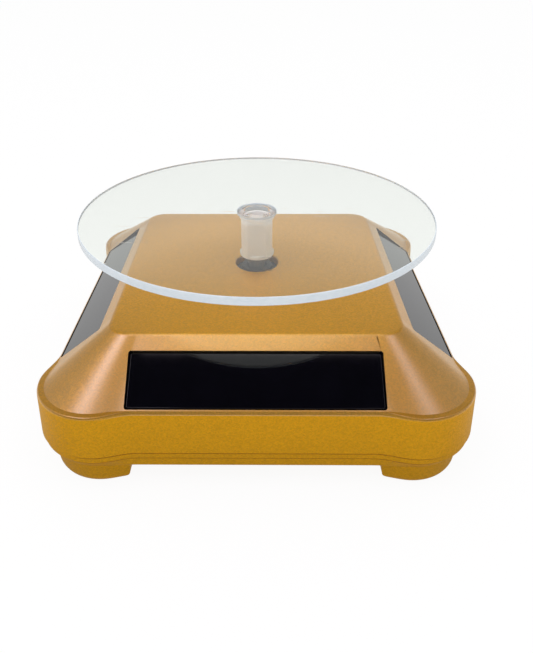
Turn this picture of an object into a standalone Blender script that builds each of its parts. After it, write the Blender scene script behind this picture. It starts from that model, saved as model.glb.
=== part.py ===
"""Turntable display stand: a solar and battery powered rotating stand.

Metres, +Z up.  The origin is the centre of the footprint on the surface that the
feet stand on, and the front faces -Y.
"""

from math import atan2, cos, pi, radians, sin, sqrt, tan

import bmesh
import bpy
from mathutils import Matrix, Vector

# ---------------------------------------------------------------- driving sizes

# Clearances
GAP = 0.0003  # between pieces that touch or run together

# Base outline: a square with flat sides and a round lobe at each corner
WALL_HALF_RIM = 0.0476  # half width across the flat sides, at the rim
WALL_LEAN = 0.0008  # how far the side leans out, down to the parting line
LOBE_INSET = 0.012  # centre of a corner lobe, from the flat side, in X and in Y
LOBE_RADIUS_RIM = 0.01405
LOBE_RADIUS_FOOT = 0.0145
SWELL_LENGTH = 0.0096  # over which a flat side swells into its lobe

# Heights
FLOOR_CLEARANCE = 0.0048  # underside of the tray, between the feet
TRAY_BAND = 0.0026  # height of the tray's lower band
PARTING = 0.0090  # joint line between the tray and the shell
PARTING_GAP = 0.0003
RIM_HEIGHT = 0.02005  # top of the vertical wall
PLATE_HEIGHT = 0.0307  # top of the flat plate
DISC_TOP = 0.04675

# Top shell
SHELL_WALL = 0.002
SLOPE_WALL = 0.003
LEDGE_WIDTH = 0.0005  # between the flat side and the slope
SLOPE_BASE_CORNER = 0.013  # corner radius where the slope leaves the rim
SLOPE_ANGLE = radians(38.0)
PLATE_CORNER = 0.0055
PLATE_FILLET = 0.003
RIM_FILLET = 0.0008
PLATE_HOLE = 0.0113  # diameter, round the drive spindle

# Solar panels, one in each slope
WINDOW_WIDTH = 0.0562
WINDOW_HEIGHT = 0.0131  # along the slope
WINDOW_LIP = 0.0003  # material left below the window
WINDOW_DEPTH = 0.0019
PANEL_THICKNESS = 0.0012
PANEL_VENT = (0.044, 0.006)  # opening behind a panel, for its leads

# Bottom tray and feet
TRAY_INSET = 0.0005  # how far the tray's side stands back from the shell's
TRAY_STEP = 0.0003  # how far the lower band is set back
TRAY_LOBE_DRAFT = 0.0012  # how far the lower band draws in at the lobes, towards the floor
TRAY_FLOOR = 0.002
TRAY_LIP = 0.0018  # tongue that stands up inside the shell
TRAY_LIP_WALL = 0.0012
FOOT_REACH_TOP = 0.0078  # from a lobe's centre to the foot's inner side, at the tray
FOOT_REACH_BOTTOM = 0.0075
FOOT_TAPER = 0.0020  # how far the outside draws in towards the floor, from the band
FOOT_WALL = 0.0025
CASE_SCREW_OUT = 0.0019  # in X and in Y from the centre of a lobe
SCREW_SHANK = 0.0026
SCREW_HEAD = 0.0052
SCREW_HEAD_HEIGHT = 0.0018
CASE_SCREW_LENGTH = 0.011
HEAD_RECESS = 0.0031  # depth of the hole that a case screw's head sits in
BOSS_WALL = 0.0019

# Turntable
DISC_DIAMETER = 0.090
DISC_THICKNESS = 0.002
DISC_EDGE = 0.00025
DISC_HOLE = 0.0100
POST_COLLAR_LENGTH = 0.0033
POST_BODY_WIDTH = 0.0080  # across its flats
POST_BODY_CHAMFER = 0.0016
POST_FLANGE_DIAMETER = 0.0090
POST_FLANGE_HEIGHT = 0.0011
POST_LIFT = 0.0025  # bottom of the post above the plate
POST_CUP_DIAMETER = 0.0061
POST_CUP_DEPTH = 0.0032
SPINDLE_DIAMETER = 0.0046
SPINDLE_JOURNAL = 0.003
SPINDLE_SHOULDER = 0.0074
SPINDLE_SHOULDER_HEIGHT = 0.0006

# Gear train: three equal steps between the motor and the turntable
MODULE = 0.0008
WHEEL_TEETH = 28
PINION_TEETH = 8
GEAR_FACE = 0.002
GEAR_STEP = 0.0025  # from one gear level to the next
GEAR_ADDENDUM = 0.8  # in modules
GEAR_DEDENDUM = 1.2
GEAR_BACKLASH = 0.00018  # taken off each flank
PRESSURE_ANGLE = radians(20.0)
PIN_DIAMETER = 0.0015
HUB_DIAMETER = 0.004
FIRST_GEAR_ANGLE = radians(-30.0)  # of its axis, seen from the turntable's axis
SECOND_GEAR_ANGLE = radians(30.0)

# Gearbox
GEARBOX_DROP = 0.0131  # underside of the gearbox, below the top of the plate
GEARBOX_FLOOR = 0.0014
GEARBOX_WALL = 0.0014
GEARBOX_CORNER = 0.003
GEARBOX_COVER = 0.001
GEAR_ROOM = 0.0006  # between a wheel's tips and the gearbox wall
BEARING_CUP_DIAMETER = 0.007
BEARING_CUP_DEPTH = 0.0021
BUSH_DIAMETER = 0.008
EAR_WIDTH = 0.008
GEARBOX_SCREW_LENGTH = 0.006
GEARBOX_SCREW_HEAD = 0.0044
GEARBOX_SCREW_SHANK = 0.0022

# Motor
MOTOR_DIAMETER = 0.020
MOTOR_ROOM = 0.001  # between the motor and the tray
MOTOR_CAN_WALL = 0.0006
MOTOR_CAP = 0.0017
MOTOR_SHAFT = 0.0012
MOTOR_COLLAR_HEIGHT = 0.0055

# Battery bay
CELL_DIAMETER = 0.0142
CELL_LENGTH = 0.0505
CELL_NUB_DIAMETER = 0.0054
CELL_NUB_LENGTH = 0.0014
BAY_AT_Y = 0.030
BAY_WALL = 0.0012
BAY_HEIGHT = 0.009
BAY_SIDE_ROOM = 0.0005
DOOR_THICKNESS = 0.0016
DOOR_NOTCH = (0.012, 0.0025, 0.0016)  # for a fingernail, half sunk
CONTACT_THICKNESS = 0.0004
SPRING_LENGTH = 0.0027
SPRING_WIRE = 0.0007
SPRING_TURNS = 3
SPRING_RADIUS = 0.0032

# Power switch, under the front
SWITCH_AT_Y = -0.034
SWITCH_BODY = (0.010, 0.005, 0.0045)
KNOB_WIDTH = 0.003
KNOB_DEPTH = 0.002
KNOB_TRAVEL = 0.003
KNOB_STAND_OUT = 0.0009

# Circuit board
BOARD_AT_X = -0.0295
BOARD_SIZE = (0.018, 0.026)
BOARD_THICKNESS = 0.0012
BOARD_HEIGHT = 0.0030  # above the tray floor
BOARD_POST = 0.0042
BOARD_POST_INSET = 0.0035
CAPACITOR_DIAMETER = 0.008
CAPACITOR_HEIGHT = 0.011

# Leads
LEAD_DIAMETER = 0.0011

# Round shapes are drawn with this many sides
SIDES_LARGE = 72
SIDES_MEDIUM = 24
SIDES_SMALL = 12
LOBE_STEPS = 6
SWELL_STEPS = 3

# ---------------------------------------------------------------- worked-out sizes

WALL_HALF_FOOT = WALL_HALF_RIM + WALL_LEAN
LOBE_CENTRE = WALL_HALF_RIM - LOBE_INSET
FLAT_END = LOBE_CENTRE - SWELL_LENGTH
SLOPE_BASE_HALF = WALL_HALF_RIM - LEDGE_WIDTH
FOOT_INSIDE_TOP = LOBE_CENTRE - FOOT_REACH_TOP
FOOT_INSIDE_BOTTOM = LOBE_CENTRE - FOOT_REACH_BOTTOM
CASE_SCREW_AT = LOBE_CENTRE + CASE_SCREW_OUT
TRAY_HALF = WALL_HALF_FOOT - TRAY_INSET
TRAY_RADIUS = LOBE_RADIUS_FOOT - TRAY_INSET
TRAY_FLOOR_TOP = FLOOR_CLEARANCE + TRAY_FLOOR
WHEEL_RADIUS = MODULE * WHEEL_TEETH / 2
PINION_RADIUS = MODULE * PINION_TEETH / 2
AXLE_DISTANCE = WHEEL_RADIUS + PINION_RADIUS
WHEEL_TIP = WHEEL_RADIUS + GEAR_ADDENDUM * MODULE
FIRST_AXIS = Vector((AXLE_DISTANCE * cos(FIRST_GEAR_ANGLE), AXLE_DISTANCE * sin(FIRST_GEAR_ANGLE), 0))
SECOND_AXIS = Vector((AXLE_DISTANCE * cos(SECOND_GEAR_ANGLE), AXLE_DISTANCE * sin(SECOND_GEAR_ANGLE), 0))
MOTOR_ANGLE = FIRST_GEAR_ANGLE - radians(60.0)
MOTOR_AXIS = Vector((AXLE_DISTANCE * cos(MOTOR_ANGLE), AXLE_DISTANCE * sin(MOTOR_ANGLE), 0))
GEARBOX_FLOOR_Z = PLATE_HEIGHT - GEARBOX_DROP
GEARBOX_FLOOR_TOP = GEARBOX_FLOOR_Z + GEARBOX_FLOOR
MOTOR_LENGTH = GEARBOX_FLOOR_Z - GAP - TRAY_FLOOR_TOP - MOTOR_ROOM
LOW_LEVEL = GEARBOX_FLOOR_TOP + 2 * GAP
MIDDLE_LEVEL = LOW_LEVEL + GEAR_STEP
HIGH_LEVEL = MIDDLE_LEVEL + GEAR_STEP
COVER_Z = HIGH_LEVEL + GEAR_FACE + 2 * GAP
PLATE_UNDERSIDE = PLATE_HEIGHT - SHELL_WALL
CELL_AXIS_Z = FLOOR_CLEARANCE + DOOR_THICKNESS + GAP + CELL_DIAMETER / 2
BAY_LENGTH = CELL_LENGTH + SPRING_LENGTH + 2 * CONTACT_THICKNESS + 4 * GAP
BAY_WIDTH = CELL_DIAMETER + 2 * BAY_SIDE_ROOM
PIN_BORE = PIN_DIAMETER + 2 * GAP
BOARD_Z = TRAY_FLOOR_TOP + BOARD_HEIGHT
POST_BOTTOM = PLATE_HEIGHT + POST_LIFT
SPINDLE_TOP = DISC_TOP - POST_CUP_DEPTH

# ---------------------------------------------------------------- scene helpers


def clear_scene():
    for item in list(bpy.data.objects):
        bpy.data.objects.remove(item, do_unlink=True)


clear_scene()
PARTS = bpy.data.collections.new("turntable_display_stand")
CUTTERS = bpy.data.collections.new("cutters")
bpy.context.scene.collection.children.link(PARTS)
bpy.context.scene.collection.children.link(CUTTERS)


def material(name, colour, roughness, metallic=0.0, alpha=1.0):
    made = bpy.data.materials.new(name)
    made.use_nodes = True
    shader = made.node_tree.nodes["Principled BSDF"]
    shader.inputs["Base Color"].default_value = (*colour, 1.0)
    shader.inputs["Roughness"].default_value = roughness
    shader.inputs["Metallic"].default_value = metallic
    shader.inputs["Alpha"].default_value = alpha
    return made


GOLD = ((0.47, 0.23, 0.03), 0.38, 0.7)
BLACK_GLASS = ((0.005, 0.005, 0.008), 0.05, 0.0)
CLEAR = ((0.90, 0.97, 0.95), 0.04, 0.0, 0.3)
WHITE_PLASTIC = ((0.82, 0.82, 0.80), 0.4)
GREY_PLASTIC = ((0.25, 0.26, 0.27), 0.5)
BLACK_PLASTIC = ((0.02, 0.02, 0.02), 0.5)
STEEL = ((0.60, 0.60, 0.62), 0.3, 1.0)
BRASS = ((0.65, 0.46, 0.16), 0.3, 1.0)
BOARD_GREEN = ((0.02, 0.16, 0.06), 0.45)
CELL_SLEEVE = ((0.05, 0.12, 0.25), 0.35)
RED_LEAD = ((0.5, 0.02, 0.02), 0.5)
BLACK_LEAD = ((0.02, 0.02, 0.02), 0.5)


def finish(item, name, look):
    """Name a part, give it its own material and put it with the parts."""
    item.name = name
    item.data.name = name
    item.data.materials.clear()
    item.data.materials.append(material(name, *look))
    for owner in list(item.users_collection):
        owner.objects.unlink(item)
    PARTS.objects.link(item)
    if item.type == "MESH":
        item.data.shade_smooth()
        item.data.set_sharp_from_angle(angle=radians(30.0))
    return item


def mesh_object(name, shape):
    """A mesh object made from a bmesh, with its faces turned outwards."""
    bmesh.ops.recalc_face_normals(shape, faces=shape.faces)
    data = bpy.data.meshes.new(name)
    shape.to_mesh(data)
    shape.free()
    made = bpy.data.objects.new(name, data)
    CUTTERS.objects.link(made)
    return made


def box(size, centre):
    shape = bmesh.new()
    bmesh.ops.create_cube(shape, size=1.0, matrix=Matrix.Translation(centre) @ Matrix.Diagonal((*size, 1.0)))
    return mesh_object("box", shape)


def rod(diameter, bottom, top, at=(0.0, 0.0), sides=SIDES_MEDIUM, top_diameter=None):
    """A round bar along Z."""
    shape = bmesh.new()
    middle = Matrix.Translation((at[0], at[1], (bottom + top) / 2))
    end = diameter if top_diameter is None else top_diameter
    bmesh.ops.create_cone(
        shape,
        cap_ends=True,
        segments=sides,
        radius1=diameter / 2,
        radius2=end / 2,
        depth=top - bottom,
        matrix=middle,
    )
    return mesh_object("rod", shape)


def turned(profile, sides=SIDES_MEDIUM, at=(0.0, 0.0, 0.0)):
    """A profile of (radius, height) points, listed top to bottom, turned round Z."""
    shape = bmesh.new()
    points = [shape.verts.new((radius, 0.0, height)) for radius, height in profile]
    for first, second in zip(points, points[1:]):
        shape.edges.new((first, second))
    if profile[0][0] > 0.0 and profile[-1][0] > 0.0:
        shape.edges.new((points[-1], points[0]))
    data = bpy.data.meshes.new("turned")
    shape.to_mesh(data)
    shape.free()
    made = bpy.data.objects.new("turned", data)
    CUTTERS.objects.link(made)
    made.location = at
    screw = made.modifiers.new("Screw", "SCREW")
    screw.steps = sides
    screw.render_steps = sides
    screw.use_merge_vertices = True
    screw.merge_threshold = 0.00001
    return made


def slab(outline, bottom, top, at=(0.0, 0.0)):
    """A flat outline with a thickness, as a mesh."""
    curve = bpy.data.curves.new("slab", "CURVE")
    curve.dimensions = "2D"
    curve.fill_mode = "BOTH"
    curve.extrude = (top - bottom) / 2
    line = curve.splines.new("POLY")
    line.points.add(len(outline) - 1)
    for point, (x, y) in zip(line.points, outline):
        point.co = (x, y, 0.0, 1.0)
    line.use_cyclic_u = True
    drawn = bpy.data.objects.new("slab", curve)
    CUTTERS.objects.link(drawn)
    drawn.location = (at[0], at[1], (bottom + top) / 2)
    return as_mesh(drawn)


def as_mesh(drawn):
    """A curve object as a mesh object at the origin, with its caps welded on."""
    bpy.context.view_layer.update()
    graph = bpy.context.evaluated_depsgraph_get()
    data = bpy.data.meshes.new_from_object(drawn.evaluated_get(graph))
    shape = bmesh.new()
    shape.from_mesh(data)
    bmesh.ops.remove_doubles(shape, verts=shape.verts, dist=0.000001)
    shape.transform(drawn.matrix_world)
    bpy.data.objects.remove(drawn, do_unlink=True)
    return mesh_object("slab", shape)


def loft(rings):
    """A closed solid through rings of equally many points, listed upwards."""
    shape = bmesh.new()
    rows = [[shape.verts.new(point) for point in ring] for ring in rings]
    count = len(rings[0])
    for low, high in zip(rows, rows[1:]):
        for index in range(count):
            after = (index + 1) % count
            shape.faces.new((low[index], low[after], high[after], high[index]))
    shape.faces.new(list(reversed(rows[0])))
    shape.faces.new(rows[-1])
    return mesh_object("loft", shape)


def combine(target, other, operation):
    step = target.modifiers.new(operation.title(), "BOOLEAN")
    step.operation = operation
    step.solver = "EXACT"
    step.object = other
    other.hide_render = True
    other.display_type = "WIRE"
    return target


def cut(target, *cutters):
    for cutter in cutters:
        combine(target, cutter, "DIFFERENCE")
    return target


def join(target, *others):
    for other in others:
        combine(target, other, "UNION")
    return target


def tube(name, points, diameter, look):
    """A round wire through a list of points."""
    curve = bpy.data.curves.new(name, "CURVE")
    curve.dimensions = "3D"
    curve.bevel_depth = diameter / 2
    curve.bevel_resolution = 2
    curve.use_fill_caps = True
    line = curve.splines.new("POLY")
    line.points.add(len(points) - 1)
    for point, place in zip(line.points, points):
        point.co = (*place, 1.0)
    return finish(bpy.data.objects.new(name, curve), name, look)


def smooth_route(corners, steps=4):
    """Points of a smooth curve through a short list of places."""
    padded = [corners[0], *corners, corners[-1]]
    route = []
    for before, start, end, after in zip(padded, padded[1:], padded[2:], padded[3:]):
        for index in range(steps):
            t = index / steps
            a = Vector(start)
            b = (Vector(end) - Vector(before)) / 2
            c = (Vector(after) - Vector(start)) / 2
            d = Vector(end)
            route.append(
                (2 * t**3 - 3 * t**2 + 1) * a + (t**3 - 2 * t**2 + t) * b
                + (3 * t**2 - 2 * t**3) * d + (t**3 - t**2) * c
            )
    route.append(Vector(corners[-1]))
    return route


# ---------------------------------------------------------------- outlines


def swell(t):
    """A smooth step from 0 to 1."""
    t = min(max(t, 0.0), 1.0)
    return t * t * (3 - 2 * t)


def corner_outline(half, radius, start, centre=LOBE_CENTRE, flat_end=FLAT_END):
    """One corner of the base outline, from its right-hand side to its upper side."""
    bulge = centre + radius - half
    side = []
    for index in range(SWELL_STEPS):
        along = start + (centre - start) * index / SWELL_STEPS
        side.append((half + bulge * swell((along - flat_end) / (centre - flat_end)), along))
    arc = []
    for index in range(LOBE_STEPS + 1):
        turn = pi / 2 * index / LOBE_STEPS
        arc.append((centre + radius * cos(turn), centre + radius * sin(turn)))
    mirrored = [(y, x) for x, y in reversed(side)]
    return side + arc + mirrored


def base_ring(height, half, radius, centre=LOBE_CENTRE, flat_end=FLAT_END):
    """The whole base outline at one height."""
    ring = []
    quarter = corner_outline(half, radius, flat_end, centre, flat_end)
    for side in range(4):
        turn = Matrix.Rotation(side * pi / 2, 3, "Z")
        ring += [turn @ Vector((x, y, height)) for x, y in quarter]
    return ring


def square_ring(height, half, corner):
    """A square with round corners, in step with the base outline."""
    centre = half - corner
    return base_ring(height, half, corner, centre, min(FLAT_END, centre - corner / 4))


def rounded_rectangle(left, right, front, back, corner, steps=4):
    outline = []
    places = ((right, back, 0), (left, back, 1), (left, front, 2), (right, front, 3))
    for x, y, quarter in places:
        inside_x = x - corner if quarter in (0, 3) else x + corner
        inside_y = y - corner if quarter in (0, 1) else y + corner
        for index in range(steps + 1):
            turn = pi / 2 * (quarter + index / steps)
            outline.append((inside_x + corner * cos(turn), inside_y + corner * sin(turn)))
    return outline


def gear_outline(teeth, turn):
    """Involute teeth, with one tooth centred on the angle turn."""
    pitch = MODULE * teeth / 2
    base = pitch * cos(PRESSURE_ANGLE)
    tip = pitch + GEAR_ADDENDUM * MODULE
    root = pitch - GEAR_DEDENDUM * MODULE

    def involute(radius):
        if radius <= base:
            return 0.0
        roll = sqrt((radius / base) ** 2 - 1)
        return roll - atan2(roll, 1.0)

    half_tooth = pi / (2 * teeth) - GEAR_BACKLASH / pitch + involute(pitch)
    radii = (root, pitch, tip)
    outline = []
    for tooth in range(teeth):
        middle = turn + 2 * pi * tooth / teeth
        rising = [(radius, middle - half_tooth + involute(radius)) for radius in radii]
        falling = [(radius, 2 * middle - angle) for radius, angle in reversed(rising)]
        outline += [(radius * cos(angle), radius * sin(angle)) for radius, angle in rising + falling]
    return outline


# ---------------------------------------------------------------- top shell


def slope_point(distance, depth=0.0):
    """Distance from the middle and height, that far up the slope and below its face."""
    outward = SLOPE_BASE_HALF - distance * cos(SLOPE_ANGLE) - depth * sin(SLOPE_ANGLE)
    return outward, RIM_HEIGHT + distance * sin(SLOPE_ANGLE) - depth * cos(SLOPE_ANGLE)


FILLET_REACH = PLATE_FILLET * tan(SLOPE_ANGLE / 2)
SLOPE_LENGTH = (PLATE_HEIGHT - RIM_HEIGHT) / sin(SLOPE_ANGLE)
SLOPE_CUT = SLOPE_LENGTH - FILLET_REACH


def shell_outside():
    """Outside of the shell, from the parting line up to the plate."""
    edge, edge_height = slope_point(SLOPE_LENGTH)
    blend, blend_height = slope_point(SLOPE_CUT)
    inset = RIM_FILLET * 0.3
    ledge_half = SLOPE_BASE_HALF + GAP
    middle = (blend + edge - FILLET_REACH) / 2
    rings = [
        base_ring(PARTING + PARTING_GAP / 2, WALL_HALF_FOOT, LOBE_RADIUS_FOOT),
        base_ring(RIM_HEIGHT - RIM_FILLET, WALL_HALF_RIM, LOBE_RADIUS_RIM),
        base_ring(RIM_HEIGHT - inset, WALL_HALF_RIM - inset / 2, LOBE_RADIUS_RIM - inset),
        base_ring(RIM_HEIGHT, ledge_half, LOBE_RADIUS_RIM - RIM_FILLET),
        square_ring(RIM_HEIGHT + GAP / 10, SLOPE_BASE_HALF, SLOPE_BASE_CORNER),
        square_ring(blend_height, blend, PLATE_CORNER + FILLET_REACH),
        square_ring((blend_height + 3 * edge_height) / 4, middle, PLATE_CORNER + FILLET_REACH / 2),
        square_ring(edge_height, edge - FILLET_REACH, PLATE_CORNER),
    ]
    return loft(rings)


def shell_inside():
    """The hollow under the shell."""
    low_half = WALL_HALF_FOOT - SHELL_WALL
    high_half = WALL_HALF_RIM - SHELL_WALL
    below = PARTING - SHELL_WALL
    foot_outward, foot_height = slope_point(0.0, SLOPE_WALL)
    knee = foot_height - (high_half - foot_outward) * tan(SLOPE_ANGLE)
    top_half = foot_outward - (PLATE_UNDERSIDE - foot_height) / tan(SLOPE_ANGLE)
    rings = [
        base_ring(below, low_half, LOBE_RADIUS_FOOT - SHELL_WALL),
        base_ring(knee - GAP, high_half, LOBE_RADIUS_RIM - SHELL_WALL),
        square_ring(knee, high_half - GAP / 3, SLOPE_BASE_CORNER - SHELL_WALL),
        square_ring(PLATE_UNDERSIDE, top_half, PLATE_CORNER),
    ]
    return loft(rings)


def slope_frame(turn):
    """Matrix of a slope's window: X along the edge, Y up the slope, Z out of it."""
    outward, height = slope_point(WINDOW_LIP + WINDOW_HEIGHT / 2)
    tilt = Matrix.Rotation(SLOPE_ANGLE, 4, "X")
    place = Matrix.Translation((0.0, -outward, height))
    return Matrix.Rotation(turn, 4, "Z") @ place @ tilt


def slope_box(turn, width, height, bottom, top):
    """A box in a window's own directions, between two depths below the slope."""
    made = box((width, height, top - bottom), (0.0, 0.0, (bottom + top) / 2))
    made.matrix_world = slope_frame(turn)
    return made


CORNERS = ((1, 1), (-1, 1), (-1, -1), (1, -1))
GEARBOX_BOSSES = (
    Vector((-AXLE_DISTANCE - EAR_WIDTH * 0.65, AXLE_DISTANCE * 0.8, 0.0)),
    Vector((-AXLE_DISTANCE - EAR_WIDTH * 0.65, -AXLE_DISTANCE * 0.8, 0.0)),
    Vector((AXLE_DISTANCE * 0.85, -AXLE_DISTANCE * 1.8, 0.0)),
)
BOSS_DIAMETER = SCREW_SHANK + 2 * GAP + 2 * BOSS_WALL
COLUMN_TOP = FLOOR_CLEARANCE + BOSS_WALL / 2
BOSS_BOTTOM = COLUMN_TOP + GAP


def make_top_shell():
    shell = shell_outside()
    hollow = shell_inside()
    for x, y in CORNERS:
        at = (x * CASE_SCREW_AT, y * CASE_SCREW_AT)
        cut(hollow, rod(BOSS_DIAMETER, 0.0, PLATE_HEIGHT, at, SIDES_SMALL))
    ear_top = GEARBOX_FLOOR_TOP + GAP
    small_boss = GEARBOX_SCREW_SHANK + 2 * GAP + 2 * BOSS_WALL
    for at in GEARBOX_BOSSES:
        cut(hollow, rod(small_boss, ear_top, PLATE_HEIGHT, at.xy, SIDES_SMALL))
    cut(shell, hollow)
    nose = BOSS_DIAMETER - 2 * GAP
    for x, y in CORNERS:
        at = (x * CASE_SCREW_AT, y * CASE_SCREW_AT)
        join(shell, rod(nose, BOSS_BOTTOM, RIM_HEIGHT * 0.8, at, SIDES_SMALL))
        hole_top = HEAD_RECESS - GAP + CASE_SCREW_LENGTH + GAP
        cut(shell, rod(SCREW_SHANK + 2 * GAP, 0.0, hole_top, at, SIDES_SMALL))
    for at in GEARBOX_BOSSES:
        hole_top = GEARBOX_FLOOR_Z - GAP + GEARBOX_SCREW_LENGTH + GAP
        cut(shell, rod(GEARBOX_SCREW_SHANK + 2 * GAP, 0.0, hole_top, at.xy, SIDES_SMALL))
    cut(shell, rod(PLATE_HOLE, PLATE_UNDERSIDE - GAP * 3, PLATE_HEIGHT + GAP * 3))
    for side in range(4):
        turn = side * pi / 2
        cut(shell, slope_box(turn, WINDOW_WIDTH, WINDOW_HEIGHT, -WINDOW_DEPTH, SLOPE_WALL))
        cut(shell, slope_box(turn, *PANEL_VENT, -2 * SLOPE_WALL, SLOPE_WALL))
    finish(shell, "top_shell", GOLD)


def make_solar_panels():
    width = WINDOW_WIDTH - 2 * GAP
    height = WINDOW_HEIGHT - 2 * GAP
    bottom = GAP - WINDOW_DEPTH
    for side, name in enumerate(("front", "right", "back", "left")):
        panel = slope_box(side * pi / 2, width, height, bottom, bottom + PANEL_THICKNESS)
        finish(panel, "solar_panel_" + name, BLACK_GLASS)


# ---------------------------------------------------------------- bottom tray


def tray_outside():
    band_half = TRAY_HALF - TRAY_STEP
    band_radius = TRAY_RADIUS - TRAY_STEP
    drafted_radius = band_radius - TRAY_LOBE_DRAFT
    band_top = FLOOR_CLEARANCE + TRAY_BAND
    lip_inset = TRAY_HALF - (WALL_HALF_FOOT - SHELL_WALL - GAP)
    top = PARTING - PARTING_GAP / 2
    rings = [
        base_ring(FLOOR_CLEARANCE, band_half - 2 * GAP, drafted_radius - 2 * GAP),
        base_ring(FLOOR_CLEARANCE + GAP, band_half - GAP / 2, drafted_radius - GAP / 2),
        base_ring(band_top, band_half, band_radius),
        base_ring(band_top + TRAY_STEP, TRAY_HALF, TRAY_RADIUS),
        base_ring(top, TRAY_HALF, TRAY_RADIUS),
        base_ring(top + GAP / 10, TRAY_HALF - lip_inset, TRAY_RADIUS - lip_inset),
        base_ring(top + TRAY_LIP, TRAY_HALF - lip_inset - GAP, TRAY_RADIUS - lip_inset - GAP),
    ]
    return loft(rings)


def tray_inside():
    half = WALL_HALF_FOOT - SHELL_WALL - 2 * GAP - TRAY_LIP_WALL
    radius = half - LOBE_CENTRE + (LOBE_CENTRE + LOBE_RADIUS_FOOT - WALL_HALF_FOOT)
    rings = [base_ring(height, half, radius) for height in (TRAY_FLOOR_TOP, PARTING + 2 * TRAY_LIP)]
    return loft(rings)


def foot_ring(height, draw_in, inside, offset, signs):
    """The outline of one foot: two inner sides and the lobed corner."""
    half = TRAY_HALF - TRAY_STEP - draw_in - offset
    radius = TRAY_RADIUS - TRAY_STEP - draw_in - offset
    ring = corner_outline(half, radius, inside + offset)
    ring.append((inside + offset, inside + offset))
    if signs[0] * signs[1] < 0:
        ring.reverse()
    return [Vector((x * signs[0], y * signs[1], height)) for x, y in ring]


def foot(signs, offset, bottom, top):
    """One foot, or the hollow in it when offset is its wall."""
    rings = []
    toe = GAP
    shoulder = TRAY_LOBE_DRAFT + GAP
    stations = ((0.0, FOOT_TAPER + toe), (0.12, FOOT_TAPER), (0.6, (shoulder + FOOT_TAPER) / 2), (1.0, shoulder))
    for share, draw_in in stations:
        height = bottom + (top - bottom) * share
        inside = FOOT_INSIDE_BOTTOM + (FOOT_INSIDE_TOP - FOOT_INSIDE_BOTTOM) * swell(share)
        rings.append(foot_ring(height, draw_in, inside, offset, signs))
    return loft(rings)


def make_bottom_tray():
    tray = tray_outside()
    for signs in CORNERS:
        join(tray, foot(signs, 0.0, 0.0, FLOOR_CLEARANCE + 2 * GAP))
    bay_middle = (0.0, BAY_AT_Y, TRAY_FLOOR_TOP + BAY_HEIGHT / 2 - TRAY_FLOOR / 2)
    bay_outside = (BAY_LENGTH + 2 * BAY_WALL, BAY_WIDTH + 2 * BAY_WALL, BAY_HEIGHT + TRAY_FLOOR / 2)
    cut(tray, tray_inside())
    join(tray, box(bay_outside, bay_middle))
    cut(tray, box((BAY_LENGTH, BAY_WIDTH, 4 * BAY_HEIGHT), bay_middle))
    for signs in CORNERS:
        at = (signs[0] * CASE_SCREW_AT, signs[1] * CASE_SCREW_AT)
        pocket = foot(signs, FOOT_WALL, FOOT_WALL, FLOOR_CLEARANCE + 2 * TRAY_FLOOR)
        cut(pocket, rod(SCREW_HEAD + 2 * GAP + 2 * BOSS_WALL, 0.0, COLUMN_TOP, at, SIDES_SMALL))
        cut(tray, pocket)
        cut(tray, rod(SCREW_HEAD + 2 * GAP, -HEAD_RECESS, HEAD_RECESS, at, SIDES_SMALL))
        cut(tray, rod(SCREW_SHANK + 2 * GAP, 0.0, 2 * TRAY_FLOOR_TOP, at, SIDES_SMALL))
    for end in (-1, 1):
        at = (BOARD_AT_X, end * (BOARD_SIZE[1] / 2 - BOARD_POST_INSET))
        join(tray, rod(BOARD_POST, TRAY_FLOOR_TOP - GAP, BOARD_Z - GAP, at, SIDES_SMALL))
        join(tray, rod(BOARD_POST / 2, BOARD_Z - 2 * GAP, BOARD_Z + 2 * BOARD_THICKNESS, at, SIDES_SMALL))
    slot = (KNOB_WIDTH + KNOB_TRAVEL + 4 * GAP, KNOB_DEPTH + 4 * GAP, 4 * TRAY_FLOOR)
    cut(tray, box(slot, (0.0, SWITCH_AT_Y, FLOOR_CLEARANCE)))
    finish(tray, "bottom_tray", GOLD)


def make_battery_door():
    width = BAY_WIDTH - 2 * GAP
    door = box((BAY_LENGTH - 2 * GAP, width, DOOR_THICKNESS), (0.0, width / 2, DOOR_THICKNESS / 2))
    cut(door, box(DOOR_NOTCH, (0.0, width - DOOR_NOTCH[1], 0.0)))
    door.location = (0.0, BAY_AT_Y - width / 2, FLOOR_CLEARANCE)
    for item in [step.object for step in door.modifiers]:
        item.parent = door
    finish(door, "battery_door", GOLD)


# ---------------------------------------------------------------- fasteners


def screw(name, at, head_diameter, shank, length, underside):
    """A pan-head screw that points upwards, with a cross recess in its head."""
    head = head_diameter / 2
    profile = [
        (0.0, length),
        (shank * 0.2, length - GAP),
        (shank / 2, length - shank * 0.6),
        (shank / 2, 0.0),
        (head, 0.0),
        (head, -SCREW_HEAD_HEIGHT * 0.45),
        (head * 0.7, -SCREW_HEAD_HEIGHT * 0.9),
        (0.0, -SCREW_HEAD_HEIGHT),
    ]
    made = turned(profile, SIDES_SMALL, (at[0], at[1], underside))
    for across in ((head * 1.1, head * 0.3), (head * 0.3, head * 1.1)):
        slot = box((*across, SCREW_HEAD_HEIGHT), (at[0], at[1], underside - SCREW_HEAD_HEIGHT))
        cut(made, slot)
    finish(made, name, STEEL)


def make_screws():
    for number, (x, y) in enumerate(CORNERS, start=1):
        at = (x * CASE_SCREW_AT, y * CASE_SCREW_AT)
        screw(f"case_screw_{number}", at, SCREW_HEAD, SCREW_SHANK, CASE_SCREW_LENGTH, HEAD_RECESS - GAP)
    underside = GEARBOX_FLOOR_Z - GAP
    for number, at in enumerate(GEARBOX_BOSSES, start=1):
        sizes = (GEARBOX_SCREW_HEAD, GEARBOX_SCREW_SHANK, GEARBOX_SCREW_LENGTH)
        screw(f"gearbox_screw_{number}", at, *sizes, underside)


# ---------------------------------------------------------------- turntable


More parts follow.
